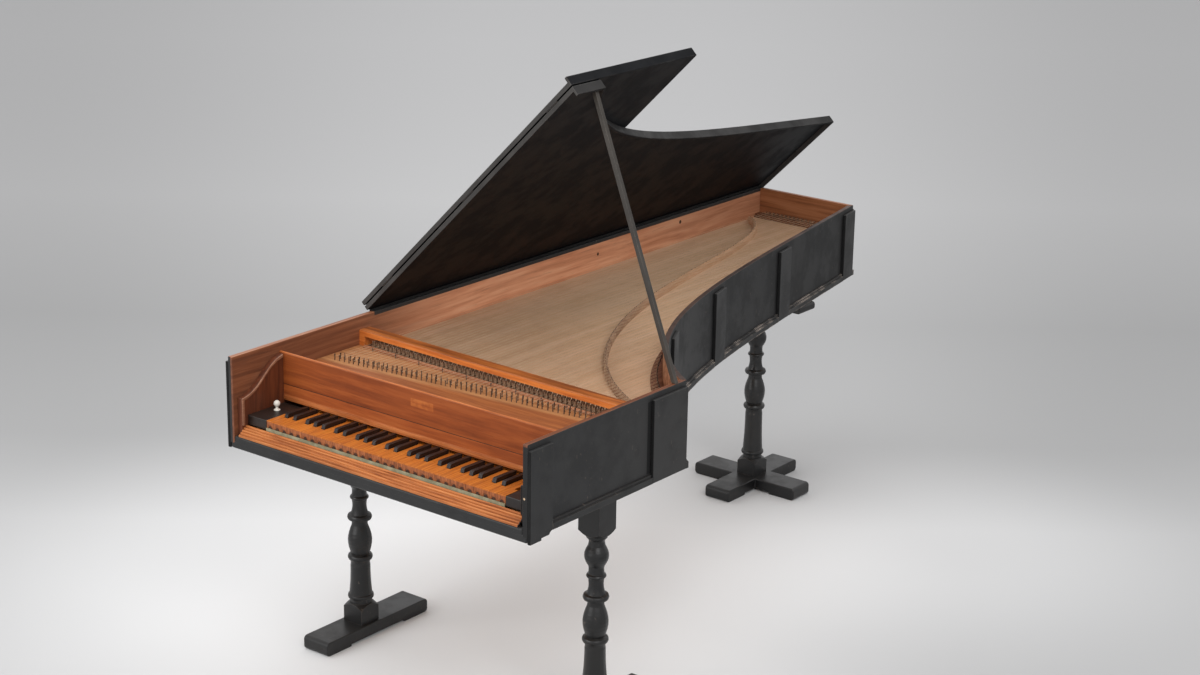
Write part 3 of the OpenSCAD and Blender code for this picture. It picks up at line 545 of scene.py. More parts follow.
def facing_mask(direction: Vector, low: float = 0.35, high: float = 0.6) -> Mask:
    """A mask that holds where the surface faces a direction.

    Args:
        direction: The direction, in the row frame.
        low: The share at which the mask starts.
        high: The share at which it is full.

    Returns:
        The mask.
    """
    way = direction.normalized()
    return lambda ground: ground.sheet.between(ground.sheet.along(ground.facing, way), low, high)


def beyond_mask(direction: Vector, point: Vector, soft: float = 0.0003) -> Mask:
    """A mask that holds beyond a plane.

    Args:
        direction: The plane's normal, towards the side that is masked.
        point: A point of the plane.
        soft: The width of the change.

    Returns:
        The mask.
    """
    way = direction.normalized()
    middle = point.dot(way)
    return lambda ground: ground.sheet.between(ground.sheet.along(ground.place, way), middle - soft,
                                               middle + soft)


def spot_mask(centre: Vector, radius: float) -> Mask:
    """A mask that holds within a small ball.

    Args:
        centre: The ball's centre.
        radius: Its radius.

    Returns:
        The mask.
    """
    def mask(ground: Ground) -> bpy.types.NodeSocket:
        """Compares the distance from the centre with the radius."""
        made = ground.sheet.node("ShaderNodeVectorMath", {0: ground.place, 1: centre}, operation="DISTANCE")
        return ground.sheet.between(made.outputs["Value"], radius * 1.1, radius * 0.8)
    return mask


def join_masks(operation: str, *masks: Mask) -> Mask:
    """One mask from several, by a Math operation such as MAXIMUM or MULTIPLY.

    Args:
        operation: The Math node's operation.
        masks: The masks to join.

    Returns:
        The joint mask.
    """
    def mask(ground: Ground) -> bpy.types.NodeSocket:
        """Works the masks together from left to right."""
        return reduce(partial(ground.sheet.sum, operation), (each(ground) for each in masks))
    return mask


def patchy_mask(scale: float, low: float, high: float) -> Mask:
    """A mask of soft patches.

    Args:
        scale: The noise's scale.
        low: The noise value at which a patch starts.
        high: The value at which it is full.

    Returns:
        The mask.
    """
    return lambda ground: ground.sheet.between(ground.sheet.noise(ground.place, scale, 3.0), low, high)


class Workshop:
    """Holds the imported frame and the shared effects, and finishes pieces with them."""

    def __init__(self, frame: dict) -> None:
        """Keeps the frame, and which body each node rides on.

        Args:
            frame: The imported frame.
        """
        self.nodes: dict[str, bpy.types.Object] = frame["nodes"]
        record = frame["record"]
        self.body = {n: b for b, names in record["behaviour"]["bodies"].items() for n in names}
        self.slots = {part["node"]: part["material_slot"] for part in record["subparts"]}
        self.effects = Effects()
        self.made: dict[str, bpy.types.Material] = {}

    def material(self, name: str, *layers: Layer, dust: float = 0.0) -> bpy.types.Material:
        """A finish by name, made on its first use.

        Args:
            name: The material's name.
            layers: Finishes with their masks.
            dust: How much dust lies on it.

        Returns:
            The material.
        """
        if name not in self.made:
            self.made[name] = finish(self.effects, name, list(layers), dust)
        return self.made[name]

    def paint(self, target: bpy.types.Object, material: bpy.types.Material) -> None:
        """Gives a piece or a node one material in all its slots.

        Args:
            target: The piece or node.
            material: Its finish.
        """
        if not target.material_slots:
            target.data.materials.append(material)
        for slot in target.material_slots:
            slot.material = material

    def dress(self, material: bpy.types.Material, *names: str) -> None:
        """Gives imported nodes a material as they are."""
        for name in names:
            self.paint(self.nodes[name], material)

    def adopt(self, piece: bpy.types.Object, node: str, material: bpy.types.Material,
              stands_in: bool = True) -> bpy.types.Object:
        """Finishes a new piece: its material, its body and what it stands for.

        Args:
            piece: The piece, in place.
            node: The node that it stands for or belongs to.
            material: Its finish.
            stands_in: Whether it stands for the node.

        Returns:
            The piece.
        """
        self.paint(piece, material)
        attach(piece, self.body[node])
        if stands_in:
            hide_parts(node)
        log.info("%s: %d faces", piece.name, len(piece.data.polygons))
        return piece

    def piece(self, name: str, shape: bmesh.types.BMesh, sharp_deg: float = SHARP_DEG) -> bpy.types.Object:
        """Turns a finished bmesh into an object at the origin, smooth up to an angle.

        Args:
            name: The object's name.
            shape: The bmesh, which is freed.
            sharp_deg: Edges sharper than this stay sharp.

        Returns:
            The object.
        """
        mesh = bpy.data.meshes.new(name)
        shape.to_mesh(mesh)
        shape.free()
        for layer in ("custom_normal", "sharp_face"):
            if layer in mesh.attributes:
                mesh.attributes.remove(mesh.attributes[layer])
        for polygon in mesh.polygons:
            polygon.use_smooth = True
        mesh.set_sharp_from_angle(angle=math.radians(sharp_deg))
        made = bpy.data.objects.new(name, mesh)
        bpy.context.scene.collection.objects.link(made)
        return made

    def round_arrises(self, piece: bpy.types.Object, width: float, segments: int, angle: float) -> None:
        """Rounds the sharp edges of a piece.

        Args:
            piece: The piece.
            width: The width of the rounding.
            segments: Faces across the rounding.
            angle: Edges sharper than this are rounded.
        """
        bevel = piece.modifiers.new("arris", "BEVEL")
        bevel.width = width
        bevel.segments = segments
        bevel.limit_method = "ANGLE"
        bevel.angle_limit = math.radians(angle)
        bevel.use_clamp_overlap = True
        bevel.harden_normals = True

    def softened(self, node: str, material: bpy.types.Material, width: float = 0.001,
                 segments: int = 2, angle: float = SHARP_DEG) -> bpy.types.Object:
        """A copy of a node with its arrises rounded, in the node's place.

        Args:
            node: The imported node.
            material: Its finish.
            width: The width of the rounding.
            segments: Faces across the rounding.
            angle: Edges sharper than this are rounded.

        Returns:
            The new piece, which stands for the node.
        """
        shape = bmesh.new()
        shape.from_mesh(self.nodes[node].data)
        bmesh.ops.remove_doubles(shape, verts=shape.verts, dist=WELD)
        bmesh.ops.dissolve_limit(shape, angle_limit=math.radians(FLAT_DEG), verts=shape.verts,
                                 edges=shape.edges)
        made = self.piece(node + "_piece", shape)
        self.round_arrises(made, width, segments, angle)
        return self.adopt(made, node, material)


SPINE_OUT = Vector((-1.0, 0.0, 0.0))
CHEEK_OUT = Vector((1.0, 0.0, 0.0))
BENTSIDE_OUT = Vector((0.8, 0.6, 0.0))
TAIL_OUT = Vector((0.0, 1.0, 0.0))
UP = Vector((0.0, 0.0, 1.0))
FORWARD = Vector((0.0, -1.0, 0.0))
BATTEN_SHADED_SIDE = Vector((0.2, -1.0, 0.0))
PLANK_BACK = Vector((-0.089, 1.0, 0.0))
CURVE_OUT = Vector((0.85, 0.52, 0.0))
BRIDGE_BACK = Vector((-0.3, 1.0, 0.0))
LID_RIM_OUT = Vector((0.57, 0.5, 0.57))

BLACK = Paint(base=(0.0142, 0.0144, 0.0148), cloud=(0.021, 0.0205, 0.020), rough=0.46, gloss=0.4)
# Painted shade: a darker copy of the case's black paint for the bentside's outer face.
SHADED_BLACK_SIDE = Paint(base=(0.0062, 0.0063, 0.0066), cloud=(0.0095, 0.0092, 0.009), rough=0.5,
                   gloss=0.3, relief=0.12)
BLACK_TOP = Paint(base=(0.034, 0.020, 0.016), cloud=(0.085, 0.045, 0.032),
                  worn=(0.34, 0.14, 0.08), wear=0.9, rough=0.5, gloss=0.3)
BLACK_MOULDING = Paint(base=(0.013, 0.013, 0.0135), cloud=(0.022, 0.021, 0.02),
                       worn=(0.50, 0.42, 0.36), wear=0.95, wear_radius=0.005, rough=0.45, gloss=0.4)
BLACK_STAND = Paint(base=(0.0048, 0.0048, 0.0051), cloud=(0.0095, 0.0088, 0.0082), wear=0.22,
                    rough=0.32, gloss=0.45)
BLACK_LID = Paint(base=(0.0048, 0.0054, 0.0068), cloud=(0.0054, 0.0057, 0.0068),
                  worn=(0.24, 0.22, 0.205), wear=0.8, wear_radius=0.003, rough=0.58, gloss=0.12, relief=0.03,
                  marks=0.25)
GREY_LID = Paint(base=(0.048, 0.046, 0.044), cloud=(0.075, 0.070, 0.066),
                 worn=(0.26, 0.24, 0.22), wear=0.8, rough=0.5, gloss=0.3)
RIM_LID = Paint(base=(0.020, 0.0195, 0.019), cloud=(0.036, 0.034, 0.033), worn=(0.26, 0.24, 0.22),
                wear=0.9, rough=0.5, gloss=0.3)
BLOCK_BLACK = Paint(base=(0.013, 0.010, 0.009), cloud=(0.030, 0.018, 0.013), wear=0.3, rough=0.34)
STICK_BLACK = Paint(base=(0.030, 0.025, 0.020), cloud=(0.055, 0.046, 0.036), wear=0.7)
# Near-black paint that stands for shadow in gaps and on shaded faces.
SHADOW_BLACK = Paint(base=(0.0012, 0.0012, 0.0013), cloud=(0.002, 0.002, 0.002), wear=0.0,
                   rough=0.8, gloss=0.05, marks=0.0)
BAND_BLACK = Paint(base=(0.022, 0.0225, 0.023), cloud=(0.032, 0.031, 0.030), wear=0.2)
WALL_WOOD = Wood((0.17, 0.060, 0.026), (0.27, 0.098, 0.045), (0.38, 0.16, 0.080),
                 length=3.0, figure=0.3, worn=(0.50, 0.30, 0.22), wear=0.5)
FRONT_WOOD = Wood((0.10, 0.030, 0.012), (0.16, 0.052, 0.022), (0.23, 0.085, 0.04),
                  length=3.0, figure=0.25, worn=(0.42, 0.22, 0.14), wear=0.5)
# Painted light: a paler, lit copy of the spine's inner wood.
LIT_SPINE_WOOD = Wood((0.54, 0.215, 0.105), (0.70, 0.31, 0.165), (0.80, 0.42, 0.245),
                length=2.5, figure=0.18, across=60.0, worn=(0.50, 0.30, 0.22), wear=0.4)
END_WOOD = Wood((0.34, 0.135, 0.066), (0.46, 0.20, 0.105), (0.56, 0.28, 0.16),
                length=2.5, figure=0.25, across=60.0, worn=(0.50, 0.30, 0.22), wear=0.4)
TAIL_WOOD = Wood((0.20, 0.070, 0.026), (0.32, 0.115, 0.045), (0.42, 0.17, 0.075),
                 grain=Grain.ACROSS_CASE, length=4.0, figure=0.25)
RED_WOOD = Wood((0.17, 0.035, 0.008), (0.255, 0.055, 0.011), (0.35, 0.088, 0.020),
                grain=Grain.ACROSS_CASE, length=3.0, across=60.0, rough=0.55, gloss=0.22, figure=0.35,
                cloud=0.3)
FOOT_WOOD = Wood((0.24, 0.052, 0.012), (0.345, 0.078, 0.016), (0.44, 0.12, 0.030),
                 grain=Grain.ACROSS_CASE, length=3.0, across=60.0, rough=0.55, gloss=0.22, figure=0.25)
STRIP_WOOD = Wood((0.31, 0.080, 0.020), (0.44, 0.125, 0.032), (0.56, 0.185, 0.058),
                  grain=Grain.ACROSS_CASE, rough=0.4)
# A near-black wood for seams and knots, also used as painted shade inside the key arches.
SEAM_AND_SHADE_WOOD = Wood((0.030, 0.010, 0.005), (0.05, 0.016, 0.007), (0.08, 0.026, 0.012), wear=0.0)
RED_UPRIGHT = Wood((0.065, 0.017, 0.007), (0.11, 0.028, 0.011), (0.16, 0.045, 0.018),
                   grain=Grain.UPRIGHT, rough=0.4, figure=0.3)
SCROLL_WOOD = Wood((0.17, 0.062, 0.030), (0.25, 0.10, 0.052), (0.36, 0.17, 0.095),
                   length=8.0, worn=(0.55, 0.34, 0.24), wear=0.6)
LIT_WOOD = Wood((0.50, 0.125, 0.022), (0.68, 0.19, 0.036), (0.80, 0.27, 0.062),
                grain=Grain.ACROSS_CASE, length=3.0, rough=0.36, figure=0.2, gloss=0.4)
# Painted shade: a darker copy of the lit rail wood for the jack rail's top face.
SHADED_RAIL_TOP_WOOD = Wood((0.17, 0.045, 0.011), (0.42, 0.115, 0.025), (0.60, 0.185, 0.045),
                     grain=Grain.ACROSS_CASE, length=3.5, across=60.0, rough=0.36, figure=0.35, gloss=0.4)
SLIP_WOOD = Wood((0.24, 0.064, 0.017), (0.44, 0.137, 0.036), (0.56, 0.205, 0.062),
                 grain=Grain.ACROSS_CASE, rough=0.5, across=140.0, gloss=0.25)
PLANK_FRONT = Wood((0.20, 0.052, 0.013), (0.30, 0.085, 0.021), (0.39, 0.125, 0.036),
                   grain=Grain.ACROSS_CASE, rough=0.5, figure=0.25, wear=0.1)
PLANK_WOOD = Wood((0.32, 0.125, 0.042), (0.43, 0.18, 0.064), (0.52, 0.245, 0.10),
                  grain=Grain.ACROSS_CASE, rough=0.5, figure=0.25, wear=0.1)
BOARD_WOOD = Wood((0.64, 0.40, 0.235), (0.70, 0.45, 0.275), (0.76, 0.51, 0.33),
                  length=1.1, across=38.0, rough=0.6, figure=0.12, pores=0.05, gloss=0.25, wear=0.1,
                  relief=0.08, cloud=0.35)
BOARD_SHADE = Wood((0.52, 0.30, 0.165), (0.58, 0.345, 0.20), (0.64, 0.39, 0.24),
                   length=1.1, across=38.0, rough=0.6, figure=0.12, pores=0.05, gloss=0.25, relief=0.08)
PLAIN_WOOD = Wood((0.24, 0.13, 0.065), (0.38, 0.22, 0.115), (0.50, 0.32, 0.18), rough=0.6,
                  gloss=0.3)
BRIDGE_WOOD = Wood((0.22, 0.115, 0.065), (0.32, 0.18, 0.105), (0.42, 0.25, 0.15),
                   length=8.0, across=50.0, rough=0.5, figure=0.2, pores=0.1)
NUT_WOOD = Wood((0.24, 0.085, 0.032), (0.34, 0.125, 0.050), (0.44, 0.18, 0.078),
                grain=Grain.ACROSS_CASE, rough=0.5, figure=0.2)
BOXWOOD = Wood((0.34, 0.085, 0.009), (0.47, 0.125, 0.013), (0.58, 0.185, 0.028), length=12.0,
               across=220.0, rough=0.36, figure=0.2, pores=0.15, gloss=0.35,
               worn=(0.70, 0.36, 0.11), wear=0.2)
KEY_FRONT = Wood((0.17, 0.048, 0.016), (0.34, 0.10, 0.030), (0.46, 0.15, 0.048),
                 grain=Grain.UPRIGHT, length=30.0, across=300.0, rough=0.45, wear=0.3)
SHARP_WOOD = Wood((0.008, 0.005, 0.004), (0.015, 0.009, 0.008), (0.03, 0.018, 0.014),
                  length=12.0, across=300.0, rough=0.3, gloss=0.4, worn=(0.09, 0.05, 0.035), wear=0.4)
JACK_WOOD = Wood((0.16, 0.085, 0.045), (0.30, 0.17, 0.095), (0.44, 0.27, 0.16),
                 grain=Grain.UPRIGHT, length=20.0, across=400.0, rough=0.55)
JACK_TOP = Wood((0.30, 0.22, 0.15), (0.55, 0.45, 0.34), (0.80, 0.74, 0.62), length=30.0,
                across=500.0, rough=0.5, wear=0.0)
PEG_WOOD = Wood((0.50, 0.33, 0.20), (0.62, 0.43, 0.27), (0.70, 0.52, 0.36), length=40.0,
                across=400.0, wear=0.0)
IRON = Metal((0.028, 0.025, 0.024), (0.055, 0.045, 0.038), metallic=0.45, rough=0.45)
PIN_IRON = Metal((0.085, 0.055, 0.038), (0.16, 0.105, 0.07), metallic=0.4, rough=0.4)
BRASS = Metal((0.66, 0.51, 0.34), (0.50, 0.37, 0.24), metallic=0.3, rough=0.5)
BONE = Paint(base=(0.78, 0.75, 0.68), cloud=(0.70, 0.64, 0.54), worn=(0.5, 0.42, 0.3), wear=0.3,
             rough=0.3, relief=0.08)
CLOTH = Felt((0.20, 0.185, 0.115), (0.46, 0.43, 0.29))
BLACK_CLOTH = Felt((0.010, 0.010, 0.010), (0.03, 0.028, 0.027))


def box_piece(shop: Workshop, name: str, *boxes: tuple[Point, Point],
              arris: float = 0.0) -> bpy.types.Object:
    """Straight strips between corners given in the case's millimetres, as one piece.

    Args:
        shop: The workshop.
        name: The piece's name.
        boxes: Lowest and highest corner of each strip.
        arris: The width of the rounding of its edges, or none.

    Returns:
        The piece, in place.
    """
    shape = bmesh.new()
    for low, high in boxes:
        start, end = at(*low), at(*high)
        size = Matrix.Diagonal((*(end - start), 1.0))
        bmesh.ops.create_cube(shape, size=1.0, matrix=Matrix.Translation((start + end) / 2) @ size)
    made = shop.piece(name, shape)
    if arris:
        shop.round_arrises(made, arris, 3, SHARP_DEG)
    return made


def islands(shape: bmesh.types.BMesh) -> list[list[bmesh.types.BMVert]]:
    """The separate solids of a shape, in the order of their first vertices.

    Args:
        shape: The bmesh.

    Returns:
        The vertices of each solid.
    """
    found = []
    seen = set()
    for start in shape.verts:
        if start in seen:
            continue
        seen.add(start)
        grown = [start]
        for vert in grown:
            for edge in vert.link_edges:
                other = edge.other_vert(vert)
                if other not in seen:
                    seen.add(other)
                    grown.append(other)
        found.append(grown)
    return found


@dataclass
class CaseWork:
    """Walls, battens, base moulding, front rail and the frame inside the case."""

    arris: float = 0.0016
    peg_x: float = 941.0
    peg_z: float = 93.0
    rail_drop: tuple[Point, Point] = ((0.6, 0.1, -13.5), (949.4, 13.4, 8.0))
    shade_to: float = 430.0
    lit_from: float = 660.0
    end_from: float = 1750.0
    band_z: float = 212.0
    slot: tuple[float, float, float] = (437.0, 26.0, 205.0)
    knots: tuple[tuple[Point, float], ...] = (
        ((13.5, 1431.0, 180.0), 0.005), ((13.5, 1830.0, 196.0), 0.006))
    top_z: float = 221.2
    fold_y: float = 500.0
    painted_x: float = 8.5
    cheek_top: float = 216.0
    scuffed_from: float = 640.0

    def spine(self, shop: Workshop) -> None:
        """Paints the spine: darker by the keys inside as painted shade, paler towards the tail as painted
        light.

        Args:
            shop: The workshop.
        """
        # Painted shade: by the keys, below the top edge, the inside takes the darker front wood.
        near = beyond_mask(FORWARD, at(0, self.shade_to, 0), 0.12)
        # Painted light: from the middle towards the tail the inside takes a paler, lit wood, a little less
        # pale at the tail end.
        lit_middle = beyond_mask(-FORWARD, at(0, self.lit_from, 0), 0.22)
        end = beyond_mask(-FORWARD, at(0, self.end_from, 0), 0.45)
        below = beyond_mask(-UP, at(0, 0, self.top_z), 0.0004)
        band = join_masks("MULTIPLY", beyond_mask(UP, at(0, 0, self.band_z), 0.0006),
                          beyond_mask(-FORWARD, at(0, self.fold_y, 0), 0.001))
        knots = join_masks("MAXIMUM", *(spot_mask(at(*place), size) for place, size in self.knots))
        edge = beyond_mask(SPINE_OUT, at(self.painted_x, 0, 0), 0.0006)
        front = join_masks("MULTIPLY", facing_mask(FORWARD), edge)
        black = join_masks("MAXIMUM", facing_mask(SPINE_OUT), facing_mask(TAIL_OUT), front)
        paint = shop.material("spine_paint_wood_light_and_shade", (WALL_WOOD, None), (LIT_SPINE_WOOD, lit_middle), (END_WOOD, end),
                              (FRONT_WOOD, join_masks("MULTIPLY", near, below)), (SEAM_AND_SHADE_WOOD, knots),
                              (BAND_BLACK, band), (BLACK, black))
        shop.softened("spine_wall", paint, self.arris)

    def build(self, shop: Workshop) -> None:
        """Makes and dresses the case.

        Args:
            shop: The workshop.
        """
        self.spine(shop)
        peg = spot_mask(at(self.peg_x, 0.0, self.peg_z), 0.003)
        ahead = join_masks("MULTIPLY", facing_mask(FORWARD),
                           beyond_mask(-UP, at(0, 0, self.cheek_top), 0.002))
        # Painted shadow: a near-black strip on the cheek's outer face beside the rear batten.
        shadow_y, shadow_low, shadow_high = self.slot
        slot = join_masks("MULTIPLY", facing_mask(CHEEK_OUT),
                          beyond_mask(-FORWARD, at(0, shadow_y, 0), 0.0012),
                          beyond_mask(UP, at(0, 0, shadow_low), 0.001),
                          beyond_mask(-UP, at(0, 0, shadow_high), 0.001))
        cheek = shop.material("cheek_paint_wood_and_shadow", (FRONT_WOOD, None), (BLACK_STAND, ahead),
                              (BLACK, facing_mask(CHEEK_OUT)), (SHADOW_BLACK, slot), (PEG_WOOD, peg))
        shop.softened("cheek_wall", cheek, self.arris)
        # The bentside's outer face takes the darker black as painted shade.
        bentside = shop.material("bentside_paint_wood_and_shade", (WALL_WOOD, None),
                                 (BLACK_TOP, facing_mask(UP)), (SHADED_BLACK_SIDE, facing_mask(BENTSIDE_OUT)))
        shop.softened("bentside_wall", bentside, self.arris)
        tail = shop.material("tail_paint_and_wood", (TAIL_WOOD, None), (BLACK, facing_mask(TAIL_OUT)))
        shop.softened("tail_wall", tail, self.arris)
        black = shop.material("black_case_paint", (BLACK, None), dust=0.03)
        sound = beyond_mask(FORWARD, at(0, self.scuffed_from, 0), 0.03)
        worn = shop.material("black_moulding_paint", (BLACK_MOULDING, None),
                             (replace(BLACK, wear=0.1), sound), dust=0.03)
        # Painted shadow: the battens' faces that look forward take near-black paint.
        battens = shop.material("black_batten_paint_and_shadow", (BLACK, None),
                                (SHADOW_BLACK, facing_mask(BATTEN_SHADED_SIDE, 0.6, 0.8)), dust=0.03)
        shop.softened("case_battens", battens, 0.0022, 3)
        shop.softened("base_moulding", worn, 0.0016, 3)
        shop.softened("front_rail", black, 0.005, 3)
        drop = box_piece(shop, "front_rail_drop", self.rail_drop, arris=0.006)
        shop.adopt(drop, "front_rail", black, stands_in=False)
        plain = shop.material("plain_boards", (PLAIN_WOOD, None))
        shop.dress(plain, "bottom_board", "inner_frame", "key_frame")


@dataclass
class Keywell:
    """Endboards with their scrolls, key blocks, knob, slip, cloth strip and nameboard."""

    patch_x: float = 492.0
    patch_z: float = 168.0
    patch_w: float = 72.0
    patch_h: float = 20.0
    seam_z: tuple[float, float] = (117.0, 118.9)
    strip_z: float = 91.0
    bead_z: float = 198.3
    treble_x: float = 920.0
    trim_x: float = 910.0
    listing_y: tuple[float, float] = (31.9, 34.1)
    listing_z: tuple[float, float] = (38.0, 50.5)
    listing_x: tuple[float, float] = (93.0, 857.0)

    def listing(self, shop: Workshop) -> None:
        """Makes the strip of cloth that stands between the slip and the key fronts.

        Args:
            shop: The workshop.
        """
        low, high = zip(self.listing_x, self.listing_y, self.listing_z)
        strip = box_piece(shop, "key_listing", (low, high))
        shop.adopt(strip, "key_cloth", shop.material("green_cloth", (CLOTH, None)), stands_in=False)

    def patch(self, ground: Ground) -> bpy.types.NodeSocket:
        """The mask of the bare pale rectangle on the nameboard.

        Args:
            ground: The material's sheet and coordinates.

        Returns:
            The mask, at part strength.
        """
        sheet = ground.sheet
        centre = at(self.patch_x, 0, self.patch_z)
        sides = []
        for axis, half in ((0, self.patch_w / 2000), (2, self.patch_h / 2000)):
            off = sheet.sum("ABSOLUTE", sheet.sum("SUBTRACT", sheet.part(ground.place, axis), centre[axis]))
            sides.append(sheet.between(off, half + 0.002, half - 0.002))
        worn = sheet.between(sheet.noise(ground.place, 60.0, 4.0), 0.3, 0.6, 0.12, 0.40)
        return sheet.times(sheet.times(sides[0], sides[1]), worn)

    def build(self, shop: Workshop) -> None:
        """Makes and dresses the keywell.

        Args:
            shop: The workshop.
        """
        treble = beyond_mask(CHEEK_OUT, at(self.treble_x, 0, 0), 0.0008)
        forward = facing_mask(FORWARD, 0.2, 0.4)
        front = join_masks("MULTIPLY", forward, treble)
        side = shop.material("endboard_wood", (RED_UPRIGHT, None), (BLACK_STAND, front))
        shop.softened("endboards", side, 0.001)
        beside = beyond_mask(CHEEK_OUT, at(self.trim_x, 0, 0), 0.0008)
        ahead = join_masks("MULTIPLY", forward, beside)
        trim = shop.material("scroll_wood", (SCROLL_WOOD, None), (BLACK_STAND, ahead))
        shop.softened("scroll_mouldings", trim, 0.0022, 3)
        bead = beyond_mask(UP, at(0, 0, self.bead_z), 0.0008)
        upper_seam = beyond_mask(-UP, at(0, 0, self.seam_z[1]), 0.0003)
        upper = shop.material("nameboard_wood", (RED_WOOD, None), (LIT_WOOD, self.patch),
                              (STRIP_WOOD, bead), (SEAM_AND_SHADE_WOOD, upper_seam))
        shop.softened("nameboard_upper", upper, 0.001)
        lower_seam = beyond_mask(UP, at(0, 0, self.seam_z[0]), 0.0003)
        strip = beyond_mask(-UP, at(0, 0, self.strip_z), 0.0003)
        lower = shop.material("nameboard_foot_wood", (FOOT_WOOD, None), (STRIP_WOOD, strip),
                              (SEAM_AND_SHADE_WOOD, lower_seam))
        shop.softened("nameboard_lower", lower, 0.0008)
        shop.softened("key_blocks", shop.material("key_block_paint", (BLOCK_BLACK, None)), 0.0015)
        slip = shop.material("slip_wood", (SLIP_WOOD, None), (BLACK_STAND, treble))
        shop.softened("key_slip", slip, 0.0004, 1, 60.0)
        shop.dress(shop.material("turned_bone", (BONE, None)), "block_knob")
        shop.softened("key_cloth", shop.material("green_cloth", (CLOTH, None)), 0.0012)
        self.listing(shop)


@dataclass
class Keyboard:
    """The keys: boxwood plates with cut fronts, and dark sharps."""

    front_top_z: float = 66.4
    front_back_y: float = 37.0
    sharp_from_z: float = 66.2
    pitch: float = 23.9
    first_x: float = 92.6
    arch_z: float = 51.0
    arch_r: float = 6.0

    def arches(self, ground: Ground) -> bpy.types.NodeSocket:
        """The mask of the painted shade in the hollows of the arches cut into the naturals' fronts.

        Args:
            ground: The material's sheet and coordinates.

        Returns:
            The mask.
        """
        sheet = ground.sheet
        first = at(self.first_x, 0, self.arch_z)
        steps = sheet.sum("DIVIDE", sheet.sum("SUBTRACT", sheet.part(ground.place, 0), first.x),
                          self.pitch / 1000)
        across = sheet.times(sheet.sum("SUBTRACT", sheet.sum("FRACT", steps), 0.5), self.pitch / 1000)
        up = sheet.sum("SUBTRACT", sheet.part(ground.place, 2), first.z)
        reach = sheet.sum("SQRT", sheet.sum("ADD", sheet.sum("POWER", sheet.sum("ABSOLUTE", across), 2.0),
                                            sheet.sum("POWER", sheet.sum("ABSOLUTE", up), 2.0)))
        return sheet.between(reach, (self.arch_r + 0.5) / 1000, (self.arch_r - 0.5) / 1000)

    def build(self, shop: Workshop) -> None:
        """Makes and dresses the keys.

        Args:
            shop: The workshop.
        """
        below = beyond_mask(-UP, at(0, 0, self.front_top_z), 0.0004)
        front = join_masks("MULTIPLY", beyond_mask(FORWARD, at(0, self.front_back_y, 0), 0.0006), below)
        # Painted shade: the arch hollows on the naturals' fronts are near-black; the front faces take a
        # darker wood, partly as painted shade.
        natural = shop.material("natural_keys", (BOXWOOD, None), (KEY_FRONT, front),
                                (SEAM_AND_SHADE_WOOD, join_masks("MULTIPLY", self.arches, front)))
        sharp = shop.material("sharp_keys", (BOXWOOD, None),
                              (SHARP_WOOD, beyond_mask(UP, at(0, 0, self.sharp_from_z))))
        for name in NOTE_NAMES:
            dark = name in SHARP_NAMES
            shop.softened("key_" + name, sharp if dark else natural, 0.0005 if dark else 0.0006, 2, 40.0)


@dataclass
class Action:
    """Jacks, their registers and the rail above them."""

    tops_z: float = 160.5

    def build(self, shop: Workshop) -> None:
        """Makes and dresses the action.

        Args:
            shop: The workshop.
        """
        # Painted light on the rail's front and painted shade on its top.
        lit = shop.material("jack_rail_lit_and_shaded_wood", (LIT_WOOD, None), (SHADED_RAIL_TOP_WOOD, facing_mask(UP)))
        shop.softened("jack_rail", lit, 0.0012)
        shop.dress(shop.material("register_wood", (FRONT_WOOD, None)), "registers")
        tops = join_masks("MULTIPLY", beyond_mask(UP, at(0, 0, self.tops_z)), patchy_mask(70.0, 0.5, 0.56))
        jack = shop.material("jack_wood", (JACK_WOOD, None), (JACK_TOP, tops))
        shop.dress(jack, *("jack_" + name for name in NOTE_NAMES))


